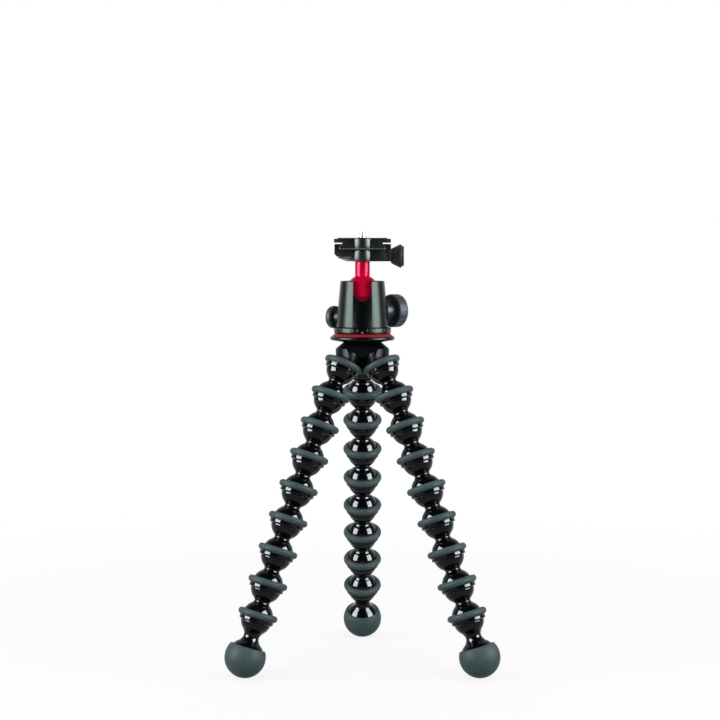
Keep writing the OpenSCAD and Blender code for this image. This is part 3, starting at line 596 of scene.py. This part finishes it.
class TRIPOD_OT_legs(bpy.types.Operator):
    """Model the segments, rubber rings and feet of the three legs"""

    bl_idname = "tripod.legs"
    bl_label = "Legs"

    def execute(self, context):
        legs = context.scene.tripod_legs
        chain = leg_chain(LEGS[0])
        pitch = (chain[1] - chain[0]).length
        reach = (chain[-1] - chain[-2]).length
        segment = turned("segment_pattern", segment_section(legs, pitch, legs.ball), legs.steps)
        last = turned("last_segment_pattern", segment_section(legs, reach, legs.foot_ball), legs.steps)
        ring = turned("ring_pattern", ring_section(legs), legs.steps)
        rim_r = math.sqrt(legs.foot ** 2 - legs.foot_rim ** 2)
        inner = legs.foot_ball + FIT
        inner_rim = math.sqrt(inner ** 2 - legs.foot_rim ** 2)
        rim_angle = math.degrees(math.asin((legs.foot_rim - 0.0004) / legs.foot))
        cap = arc((0, 0), legs.foot, -90, rim_angle, 26)
        cap += soften([
            (*cap[-1], 0.0), (rim_r, legs.foot_rim, MILD), (inner_rim, legs.foot_rim, 0.0),
        ])[1:]
        cap += arc((0, 0), inner, math.degrees(math.asin(legs.foot_rim / inner)), -90, 16)[1:]
        cap[0] = (0.0, cap[0][1])
        cap[-1] = (0.0, cap[-1][1])
        foot = turned("foot_pattern", cap, legs.steps)
        for leg in LEGS:
            chain = leg_chain(leg)
            for k in range(1, SEGMENTS + 1):
                place_now = pointing(chain[k - 1], chain[k] - chain[k - 1])
                pattern = last if k == SEGMENTS else segment
                shell = copy_to(pattern, f"leg_{leg}_shell_{k}", place_now)
                body = f"leg_{leg}_{k}"
                hand_over(shell, body, "leg_plastic", [f"leg_{leg}_segment_{k}"])
                band = copy_to(ring, f"leg_{leg}_ring_{k}", place_now)
                hand_over(band, body, "leg_rubber")
            under = copy_to(foot, f"foot_{leg}", pointing(chain[-1], chain[-1] - chain[-2]))
            bpy.ops.object.mode_set(mode="EDIT")
            bpy.ops.mesh.select_all(action="SELECT")
            bpy.ops.mesh.bisect(plane_co=(0, 0, 0), plane_no=(0, 0, -1), use_fill=True, clear_outer=True)
            close_up()
            smooth(under)
            hand_over(under, f"leg_{leg}_{SEGMENTS}", "leg_rubber", [f"foot_cap_{leg}"])
        for leg in LEGS:
            shell = copy_to(segment, f"root_shell_{leg}", root_place(leg))
            hand_over(shell, "stand", "leg_plastic", ["root_sockets"])
            band = copy_to(ring, f"root_ring_{leg}", root_place(leg))
            hand_over(band, "stand", "leg_rubber", ["root_rings"])
        for pattern in (segment, last, ring, foot):
            bpy.data.objects.remove(pattern)
        return {"FINISHED"}


class TRIPOD_OT_hub(bpy.types.Operator):
    """Model the three-lobed hub"""

    bl_idname = "tripod.hub"
    bl_label = "Hub"

    def execute(self, context):
        piece = copy_of_node("hub_body", "hub_shell")
        break_edges(piece, context.scene.tripod_legs.hub_edge, 3, 25)
        hand_over(piece, "stand", "hub_plastic", ["hub_body"])
        return {"FINISHED"}


class TRIPOD_OT_head_base(bpy.types.Operator):
    """Model the base disc, the red ring and the degree ring with its marks"""

    bl_idname = "tripod.head_base"
    bl_label = "Head base"

    def execute(self, context):
        head = context.scene.tripod_head
        low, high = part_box("base_disc")
        ring_low, ring_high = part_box("base_ring")
        degree_low, degree_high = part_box("degree_ring")
        side = (high.x - low.x) / 2
        boss = head.boss
        disc_h = ring_low.z - low.z
        bend = side - head.lip_round
        section = [(0.0, head.stud_rise), (head.stud, head.stud_rise), (head.stud, 0.0), (head.neck, 0.0)]
        section += arc((bend, disc_h - head.lip + head.lip_round), head.lip_round, -90, 0, 6)
        section += arc((bend, disc_h - head.lip_round), head.lip_round, 0, 90, 6)
        section += soften([
            (boss, disc_h, 0.0), (boss, high.z - low.z, MILD), (head.spindle, high.z - low.z, 0.0),
            (head.spindle, disc_h, 0.0), (0.0, disc_h, 0.0),
        ])
        disc = turned("base_disc_lip", section, ROUND_STEPS)
        place(disc, upright(low.z))
        hand_over(disc, "stand", "black_metal", ["base_disc"])
        foot = (ring_high.x - ring_low.x) / 2
        collar = (degree_high.x - degree_low.x) / 2
        ring_h = ring_high.z - ring_low.z
        band = turned("red_base_ring", closed(soften([
            (boss + FIT, 0.0, 0.0), (foot, 0.0, MILD), (collar - head.bevel, ring_h, MILD),
            (boss + FIT, ring_h, 0.0),
        ])), ROUND_STEPS)
        place(band, upright(ring_low.z))
        hand_over(band, "stand", "ring_metal", ["base_ring"])
        collar_h = degree_high.z - degree_low.z
        dial = turned("degree_collar", closed(soften([
            (boss + FIT, 0.0, 0.0), (collar - head.bevel, 0.0, CRISP), (collar, head.bevel, MILD),
            (collar, collar_h, head.rounding / 2),
            (boss + FIT, collar_h, 0.0),
        ])), ROUND_STEPS)
        place(dial, upright(degree_low.z))
        hand_over(dial, "stand", "black_metal", ["degree_ring"])
        self.add_marks(head, collar, degree_high.z - head.rounding / 2)
        self.add_pointer(collar, degree_low.z + head.bevel)
        return {"FINISHED"}

    def add_marks(self, head, collar, top):
        """Printed lines every ten degrees, longer every thirty."""
        marks = []
        front = 270
        for degrees in range(0, 360, 10):
            if degrees == front:
                continue
            size = head.tick_long if degrees % 30 == 0 else head.tick_short
            mark = start(f"mark_{degrees}", bpy.ops.mesh.primitive_cube_add, size=1.0)
            shape = Matrix.Diagonal((0.0002, head.tick_width, size, 1.0))
            turn = Matrix.Rotation(math.radians(degrees), 4, "Z")
            out = Matrix.Translation((collar - 0.00006, 0.0, top - size / 2))
            place(mark, Matrix.Translation(AXIS) @ turn @ out @ shape)
            marks.append(mark)
        pick(marks[0])
        for mark in marks:
            mark.select_set(True)
        bpy.ops.object.join()
        piece = bpy.context.object
        piece.name = "degree_marks"
        piece.data.name = "degree_marks"
        hand_over(piece, "stand", "mark_paint")

    def add_pointer(self, collar, foot):
        """Small printed triangle at the front."""
        wide = 0.0008
        tall = 0.0014
        piece = draw("degree_pointer", [(-wide, 0.0, 0.0), (wide, 0.0, 0.0), (0.0, 0.0, tall)])
        bpy.ops.mesh.select_all(action="SELECT")
        bpy.ops.mesh.edge_face_add()
        bpy.ops.mesh.select_all(action="SELECT")
        bpy.ops.mesh.extrude_region_move(TRANSFORM_OT_translate={"value": (0.0, 0.00018, 0.0)})
        close_up()
        place(piece, Matrix.Translation(AXIS + Vector((0.0, -collar - 0.00004, foot))))
        hand_over(piece, "stand", "mark_paint")


class TRIPOD_OT_housing(bpy.types.Operator):
    """Model the ball housing with its stem notch"""

    bl_idname = "tripod.housing"
    bl_label = "Housing"

    def execute(self, context):
        head = context.scene.tripod_head
        low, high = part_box("housing")
        tall = high.z - low.z
        foot = (high.x - low.x) / 2
        ball_z = JOINTS["ball_tilt"]["pos_m"][2] - low.z
        mouth = math.degrees(math.asin((tall - ball_z) / head.cavity))
        section = soften([
            (head.chamber, head.floor_height, 0.0), (head.floor, head.floor_height, 0.0),
            (head.floor, 0.0, 0.0), (foot, 0.0, 0.0006), (head.top, tall, 0.0011),
            (head.cavity * math.cos(math.radians(mouth)), tall, 0.0),
        ], 6)
        section += arc((0, ball_z), head.cavity, mouth, 0, 10)[1:]
        section += [(head.chamber, ball_z)]
        shell = turned("housing_shell", closed(section), FINE_STEPS)
        deep = foot + OVERCUT
        over = tall + OVERCUT
        outline = [(head.notch, over), *arc((0, ball_z), head.notch, 0, -180, 28), (-head.notch, over)]
        slot_cut = draw("notch_cut", [(x, 0.0, z) for x, z in outline])
        bpy.ops.mesh.select_all(action="SELECT")
        bpy.ops.mesh.edge_face_add()
        bpy.ops.mesh.select_all(action="SELECT")
        bpy.ops.mesh.extrude_region_move(TRANSFORM_OT_translate={"value": (0.0, -deep, 0.0)})
        close_up()
        cut(shell, slot_cut)
        break_edges(shell, 0.00025, 2, 40)
        place(shell, upright(low.z))
        for knob, bore in (("main_knob", head.main_stud), ("pan_knob", head.pan_stud)):
            drill = start(
                "stud_cut", bpy.ops.mesh.primitive_cylinder_add, radius=bore + FIT, depth=deep, vertices=48
            )
            axis = Vector(JOINTS[f"{knob}_turn"]["axis"])
            at = Vector(JOINTS[f"{knob}_turn"]["pos_m"])
            at = Vector((AXIS.x, AXIS.y, at.z)) + axis * deep / 2
            place(drill, pointing(at, axis))
            cut(shell, drill)
        smooth(shell, 40)
        hand_over(shell, "head", "black_metal", ["housing"])
        return {"FINISHED"}


class TRIPOD_OT_ball(bpy.types.Operator):
    """Model the ball and its stem"""

    bl_idname = "tripod.ball"
    bl_label = "Ball"

    def execute(self, context):
        head = context.scene.tripod_head
        low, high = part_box("ball_stem")
        centre = JOINTS["ball_tilt"]["pos_m"][2]
        reach = high.z - centre
        meet = math.degrees(math.acos((head.stem + 0.0007) / head.ball))
        section = arc((0, 0), head.ball, -90, meet, 40)
        section[0] = (0.0, section[0][1])
        joint = (head.stem, math.sqrt(head.ball ** 2 - head.stem ** 2))
        section += curve(section[-1], joint, (head.stem, joint[1] + 0.0007), 4)[1:]
        section += soften([
            (head.stem, reach - 0.002, 0.0), (head.stem, reach, MILD), (head.screw, reach, 0.0),
            (head.screw, reach - head.screw_depth, 0.0), (0.0, reach - head.screw_depth, 0.0),
        ])
        piece = turned("ball_and_stem", section, ROUND_STEPS)
        place(piece, upright(centre))
        hand_over(piece, "ball", "red_metal", ["ball_stem"])
        return {"FINISHED"}


class TRIPOD_OT_lock_knobs(bpy.types.Operator):
    """Model the main lock knob and the pan lock knob"""

    bl_idname = "tripod.lock_knobs"
    bl_label = "Lock knobs"

    def execute(self, context):
        head = context.scene.tripod_head
        self.add_knob("main_knob", 24, head.main_stud)
        self.add_knob("pan_knob", 18, head.pan_stud)
        return {"FINISHED"}

    def add_knob(self, name, grooves, bore):
        """Core and rubber grip of one knob, drawn along Z and turned to its axis."""
        head = bpy.context.scene.tripod_head
        joint = JOINTS[f"{name}_turn"]
        axis = Vector(joint["axis"])
        at = Vector(joint["pos_m"])
        core_from, core_to = self.span(f"{name}_core", axis, at)
        grip_from, grip_to = self.span(f"{name}_grip", axis, at)
        low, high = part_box(f"{name}_grip")
        side = (high.z - low.z) / 2
        hub = side / 2
        inner = side - head.grip
        seat = inner - FIT
        turn = Matrix.Translation(at) @ axis.to_track_quat("Z", "Y").to_matrix().to_4x4()
        thick = grip_to - grip_from
        waist = core_from + 0.35 * (grip_from - core_from)
        bore_end = self.span(f"{name}_stud", axis, at)[1] + FIT
        section = [(0.0, bore_end), (bore, bore_end)]
        section += soften([(bore, core_from, 0.0), (hub, core_from, SOFT), (hub, waist, 0.0)])
        section += curve((hub, waist), (hub, grip_from - 0.0002), (seat - 0.0012, grip_from + 0.0001), 8)[1:]
        section += soften([
            (seat, grip_from + 0.0001, MILD), (seat, core_to - 0.0004, 0.0),
            (seat - 0.0006, core_to - 0.0004, 0.0), (seat - 0.0006, core_to, SOFT),
            (0.55 * seat, core_to, SOFT),
            (0.5 * seat, core_to - 0.0006, SOFT), (0.0, core_to - 0.0006, 0.0),
        ])
        core = turned(f"{name}_body", section, KNOB_STEPS)
        place(core, turn)
        hand_over(core, name, "knob_plastic", [f"{name}_core"])
        rounding = min(0.0022, 0.42 * thick)
        tyre = turned(f"{name}_tyre", closed(soften([
            (inner, grip_from, SOFT), (side, grip_from, rounding), (side, grip_to, rounding),
            (inner, grip_to, SOFT),
        ], 6)), grooves * 6)
        self.groove(tyre, side, grooves)
        place(tyre, turn)
        hand_over(tyre, name, "knob_rubber", [f"{name}_grip"])

    def span(self, node, axis, at):
        """How far a node reaches along an axis, from the nearest to the farthest point."""
        reaches = [(vertex.co - at).dot(axis) for vertex in frame["nodes"][node].data.vertices]
        return min(reaches), max(reaches)

    def groove(self, tyre, side, grooves):
        """Press grooves into the outer faces at even steps."""
        pick(tyre)
        bpy.ops.object.mode_set(mode="EDIT")
        bpy.ops.mesh.select_all(action="DESELECT")
        bpy.ops.object.mode_set(mode="OBJECT")
        width = math.pi / (grooves * 6)
        for face in tyre.data.polygons:
            radius = math.hypot(face.center.x, face.center.y)
            angle = math.atan2(face.center.y, face.center.x) % (2 * math.pi / grooves)
            outward = face.normal.x * face.center.x + face.normal.y * face.center.y > 0.3 * radius
            face.select = outward and radius > side - 0.0012 and angle < 2 * width
        bpy.ops.object.mode_set(mode="EDIT")
        bpy.ops.mesh.inset(thickness=0.00016, depth=-0.0002, use_even_offset=True)
        bpy.ops.object.mode_set(mode="OBJECT")
        smooth(tyre)


class TRIPOD_OT_clamp(bpy.types.Operator):
    """Model the clamp's body, its moving jaw and the clamp knob"""

    bl_idname = "tripod.clamp"
    bl_label = "Clamp"

    def execute(self, context):
        clamp = context.scene.tripod_clamp
        for node, body in (("clamp_body", "clamp"), ("clamp_jaw", "jaw")):
            piece = copy_of_node(node, f"{node}_shell")
            break_edges(piece, clamp.edge)
            hand_over(piece, body, "clamp_metal", [node])
        low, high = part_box("clamp_knob")
        cap_low, cap_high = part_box("clamp_knob_cap")
        large = (high.z - low.z) / 2
        long = high.x - low.x
        at = Matrix.Translation((low.x, AXIS.y, (low.z + high.z) / 2))
        turn = at @ Matrix.Rotation(math.pi / 2, 4, "Y")
        bolt_low, bolt_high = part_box("clamp_screw")
        bore = (bolt_high.z - bolt_low.z) / 2 + FIT
        bore_end = bolt_high.x - low.x + FIT
        knob = turned("clamp_knob_grip", soften([
            (0.0, bore_end, 0.0), (bore, bore_end, 0.0), (bore, 0.0, 0.0), (clamp.knob, 0.0, 0.0005),
            (clamp.knob + 0.0008, 0.0012, 0.0012), (large, long - 0.0014, 0.0008),
            (large, long, 0.0006), (0.0, long, 0.0),
        ]), KNOB_STEPS)
        place(knob, turn)
        hand_over(knob, "clamp_knob", "knob_rubber", ["clamp_knob"])
        wide = (cap_high.z - cap_low.z) / 2
        cap = turned("clamp_knob_end", soften([
            (0.0, long, 0.0), (wide, long, 0.0), (wide, long + cap_high.x - cap_low.x, 0.0008),
            (0.6 * wide, long + cap_high.x - cap_low.x, MILD), (0.5 * wide, long + 0.0013, SOFT),
            (0.0, long + 0.0013, 0.0),
        ]), KNOB_STEPS)
        place(cap, turn)
        hand_over(cap, "clamp_knob", "knob_plastic", ["clamp_knob_cap"])
        return {"FINISHED"}


class TRIPOD_OT_plate(bpy.types.Operator):
    """Model the quick plate, its ribbed pad and the camera screw"""

    bl_idname = "tripod.plate"
    bl_label = "Quick plate"

    def execute(self, context):
        clamp = context.scene.tripod_clamp
        plate = copy_of_node("quick_plate", "quick_plate_shell")
        break_edges(plate, clamp.edge)
        hand_over(plate, "plate", "clamp_metal", ["quick_plate"])
        self.add_pad()
        self.add_screw(clamp)
        return {"FINISHED"}

    def add_pad(self):
        """Rubber pad with ribs across it."""
        ribs = 21
        low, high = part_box("plate_pad")
        pad = copy_of_node("plate_pad", "plate_pad_ribbed")
        pick(pad)
        bpy.ops.object.mode_set(mode="EDIT")
        for index in range(1, 2 * ribs):
            bpy.ops.mesh.select_all(action="SELECT")
            line = low.y + (high.y - low.y) * index / (2 * ribs)
            bpy.ops.mesh.bisect(plane_co=(0.0, line, 0.0), plane_no=(0, 1, 0))
        bpy.ops.mesh.select_all(action="DESELECT")
        bpy.ops.object.mode_set(mode="OBJECT")
        for face in pad.data.polygons:
            row = int((face.center.y - low.y) / (high.y - low.y) * 2 * ribs)
            face.select = face.normal.z > 0.9 and row % 2 == 1
        bpy.ops.object.mode_set(mode="EDIT")
        bpy.ops.mesh.extrude_region_move(TRANSFORM_OT_translate={"value": (0.0, 0.0, -0.0003)})
        bpy.ops.object.mode_set(mode="OBJECT")
        smooth(pad)
        hand_over(pad, "plate", "pad_rubber", ["plate_pad"])

    def add_screw(self, clamp):
        """Camera screw with its thread and slotted head."""
        low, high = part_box("camera_screw")
        mount = MOUNTS["camera_thread"]
        outer = mount["dims"]["r_mm"] / 1000
        free = mount["dims"]["length_mm"] / 1000
        total = high.z - low.z
        head_r = (high.x - low.x) / 2
        head_h = 0.003
        shank = outer - 0.0006
        section = soften([
            (0.0, 0.0, 0.0), (head_r, 0.0, SOFT), (head_r, head_h, SOFT), (shank, head_h, 0.0),
        ])
        z = total - free
        section.append((shank, z))
        while z < total - clamp.thread:
            section += [(outer, z + 0.45 * clamp.thread), (outer, z + 0.55 * clamp.thread)]
            section.append((shank, z + clamp.thread))
            z += clamp.thread
        section += [(shank - 0.0002, total), (0.0, total)]
        screw = turned("camera_screw_thread", section, SCREW_STEPS)
        slot = start("screw_slot", bpy.ops.mesh.primitive_cube_add, size=1.0)
        place(slot, Matrix.Diagonal((0.04, 0.0016, 0.0028, 1.0)))
        cut(screw, slot)
        smooth(screw)
        place(screw, upright(low.z))
        hand_over(screw, "camera_screw", "steel", ["camera_screw"])


class TRIPOD_OT_inner_parts(bpy.types.Operator):
    """Give the pieces inside the head and the clamp their materials"""

    bl_idname = "tripod.inner_parts"
    bl_label = "Inner parts"

    def execute(self, context):
        inside = {
            "steel": (
                "head_stud", "pan_spindle", "main_knob_stud", "pan_knob_stud", "stem_screw", "guide_pins",
                "clamp_screw",
            ),
            "bearing_plastic": ("pan_washer", "ball_seat"),
            "black_metal": ("housing_floor",),
            "brass": ("lock_plunger", "pan_brake_pad"),
        }
        for kind, nodes in inside.items():
            for node in nodes:
                piece = frame["nodes"][node]
                piece.data.materials.clear()
                piece.data.materials.append(coated(kind))
        return {"FINISHED"}


class TRIPOD_OT_stage(bpy.types.Operator):
    """Set the floor, the lights, the white surroundings and the camera"""

    bl_idname = "tripod.stage"
    bl_label = "Stage"

    def execute(self, context):
        stage = context.scene.tripod_stage
        self.add_floor(stage)
        self.add_world(context.scene, stage)
        size = (stage.card_width, stage.card_tall)
        aim = AXIS + UP * 0.2
        for word, side in (("left", -1), ("right", 1)):
            out = Vector((side * math.sin(stage.card_turn), -math.cos(stage.card_turn), 0.0))
            at = AXIS + out * stage.card_reach + UP * stage.card_height
            card = self.add_light(f"card_{word}", at, aim, size, stage.card)
            card.data.color = stage.card_tint
            card.visible_diffuse = False
            behind = at + (at - aim) * 0.1
            self.add_light(f"softbox_{word}", behind, aim, size, stage.softbox).visible_glossy = False
        above = AXIS + Vector((0.0, 0.25, 1.75))
        self.add_light("overhead", above, AXIS, (2.2, 2.2), stage.overhead).visible_glossy = False
        self.add_camera(context.scene, stage)
        context.scene.view_settings.view_transform = "Standard"
        return {"FINISHED"}

    def add_floor(self, stage):
        """Pale floor that takes the shadow under the object and turns plain white farther out."""
        circle = bpy.ops.mesh.primitive_circle_add
        floor = start("studio_floor", circle, radius=6.0, vertices=64, fill_type="NGON")
        material = bpy.data.materials.new("Studio Floor")
        material.use_nodes = True
        nodes = material.node_tree.nodes
        join = material.node_tree.links.new
        shader = nodes["Principled BSDF"]
        shader.inputs["Roughness"].default_value = 0.9
        shader.inputs["Specular IOR Level"].default_value = 0.0
        path = nodes.new("ShaderNodeLightPath")
        tone = nodes.new("ShaderNodeMix")
        tone.data_type = "RGBA"
        tone.inputs["A"].default_value = (*stage.floor, 1.0)
        tone.inputs["B"].default_value = (*stage.bounce, 1.0)
        join(path.outputs["Is Diffuse Ray"], tone.inputs["Factor"])
        join(tone.outputs["Result"], shader.inputs["Base Color"])
        place_node = nodes.new("ShaderNodeTexCoord")
        reach = nodes.new("ShaderNodeVectorMath")
        reach.operation = "LENGTH"
        join(place_node.outputs["Object"], reach.inputs[0])
        share = nodes.new("ShaderNodeMapRange")
        share.interpolation_type = "SMOOTHSTEP"
        share.inputs["From Min"].default_value = stage.near_end
        share.inputs["From Max"].default_value = stage.far_start
        share.inputs["To Min"].default_value = stage.near
        join(reach.outputs["Value"], share.inputs["Value"])
        seen = path.outputs["Is Camera Ray"]
        for kind in ("Is Glossy Ray", "Is Transmission Ray"):
            seen = combine(material.node_tree, "MAXIMUM", seen, path.outputs[kind])
        amount = combine(material.node_tree, "MULTIPLY", share.outputs["Result"], seen)
        white = nodes.new("ShaderNodeEmission")
        blend = nodes.new("ShaderNodeMixShader")
        join(amount, blend.inputs["Fac"])
        join(shader.outputs["BSDF"], blend.inputs[1])
        join(white.outputs["Emission"], blend.inputs[2])
        join(blend.outputs["Shader"], nodes["Material Output"].inputs["Surface"])
        floor.data.materials.append(material)

    def add_world(self, scene, stage):
        """White to the camera, white behind the object in reflections, and a plain grey light all round."""
        world = bpy.data.worlds.new("Studio")
        scene.world = world
        world.use_nodes = True
        nodes = world.node_tree.nodes
        join = world.node_tree.links.new
        nodes.clear()
        out = nodes.new("ShaderNodeOutputWorld")
        path = nodes.new("ShaderNodeLightPath")
        direction = nodes.new("ShaderNodeTexCoord")
        split = nodes.new("ShaderNodeSeparateXYZ")
        behind = nodes.new("ShaderNodeMapRange")
        behind.inputs["From Min"].default_value = 0.0
        behind.inputs["From Max"].default_value = 0.7
        behind.inputs["To Min"].default_value = stage.front
        behind.inputs["To Max"].default_value = 1.0
        join(direction.outputs["Generated"], split.inputs["Vector"])
        join(split.outputs["Y"], behind.inputs["Value"])
        ambient = nodes.new("ShaderNodeBackground")
        ambient.inputs["Strength"].default_value = stage.ambient
        mirrored = nodes.new("ShaderNodeBackground")
        join(behind.outputs["Result"], mirrored.inputs["Strength"])
        white = nodes.new("ShaderNodeBackground")
        for shader in (ambient, mirrored, white):
            shader.inputs["Color"].default_value = (1.0, 1.0, 1.0, 1.0)
        glossy = path.outputs["Is Glossy Ray"]
        through = combine(world.node_tree, "MAXIMUM", glossy, path.outputs["Is Transmission Ray"])
        first = nodes.new("ShaderNodeMixShader")
        join(through, first.inputs["Fac"])
        join(ambient.outputs["Background"], first.inputs[1])
        join(mirrored.outputs["Background"], first.inputs[2])
        last = nodes.new("ShaderNodeMixShader")
        join(path.outputs["Is Camera Ray"], last.inputs["Fac"])
        join(first.outputs["Shader"], last.inputs[1])
        join(white.outputs["Background"], last.inputs[2])
        join(last.outputs["Shader"], out.inputs["Surface"])

    def add_light(self, name, at, aim, size, power):
        """A soft area light that the camera doesn't see."""
        lamp = bpy.data.lights.new(name, "AREA")
        lamp.shape = "RECTANGLE"
        lamp.size, lamp.size_y = size
        lamp.energy = power
        light = bpy.data.objects.new(name, lamp)
        bpy.context.scene.collection.objects.link(light)
        light.location = at
        light.rotation_euler = (aim - at).to_track_quat("-Z", "Y").to_euler()
        light.visible_camera = False
        return light

    def add_camera(self, scene, stage):
        """Camera in front of the object at the photograph's angle."""
        lens = bpy.data.cameras.new("camera")
        lens.lens = stage.lens
        lens.sensor_width = 36.0
        lens.clip_start = 0.05
        lens.clip_end = 50.0
        camera = bpy.data.objects.new("camera", lens)
        scene.collection.objects.link(camera)
        camera.location = AXIS + Vector((0.0, -stage.distance, stage.eye))
        camera.rotation_euler = (math.pi / 2 - stage.drop, 0.0, stage.aside)
        scene.camera = camera


class TRIPOD_PT_builder(bpy.types.Panel):
    """Buttons that build the tripod step by step"""

    bl_idname = "TRIPOD_PT_builder"
    bl_label = "Flexible Leg Tripod"
    bl_space_type = "VIEW_3D"
    bl_region_type = "UI"
    bl_category = "Tripod"

    def draw(self, context):
        for operator in OPERATORS:
            self.layout.operator(operator.bl_idname)
        for group in SETTINGS:
            settings = getattr(context.scene, group)
            box = self.layout.box()
            for name in settings.__annotations__:
                box.prop(settings, name)


SETTINGS = {
    "tripod_legs": LegSettings,
    "tripod_head": HeadSettings,
    "tripod_clamp": ClampSettings,
    "tripod_stage": StageSettings,
}
OPERATORS = (
    TRIPOD_OT_stage, TRIPOD_OT_legs, TRIPOD_OT_hub, TRIPOD_OT_head_base, TRIPOD_OT_housing, TRIPOD_OT_ball,
    TRIPOD_OT_lock_knobs, TRIPOD_OT_clamp, TRIPOD_OT_plate, TRIPOD_OT_inner_parts,
)
CLASSES = (*SETTINGS.values(), *OPERATORS, TRIPOD_PT_builder)


def register():
    """Make the settings, operators and panel known."""
    for item in CLASSES:
        bpy.utils.register_class(item)
    for name, group in SETTINGS.items():
        setattr(bpy.types.Scene, name, PointerProperty(type=group))


def unregister():
    """Remove what register made."""
    for name in SETTINGS:
        delattr(bpy.types.Scene, name)
    for item in reversed(CLASSES):
        bpy.utils.unregister_class(item)


def main():
    """Build everything in order."""
    register()
    bpy.ops.tripod.stage()
    bpy.ops.tripod.legs()
    bpy.ops.tripod.hub()
    bpy.ops.tripod.head_base()
    bpy.ops.tripod.housing()
    bpy.ops.tripod.ball()
    bpy.ops.tripod.lock_knobs()
    bpy.ops.tripod.clamp()
    bpy.ops.tripod.plate()
    bpy.ops.tripod.inner_parts()


if __name__ == "__main__":
    main()
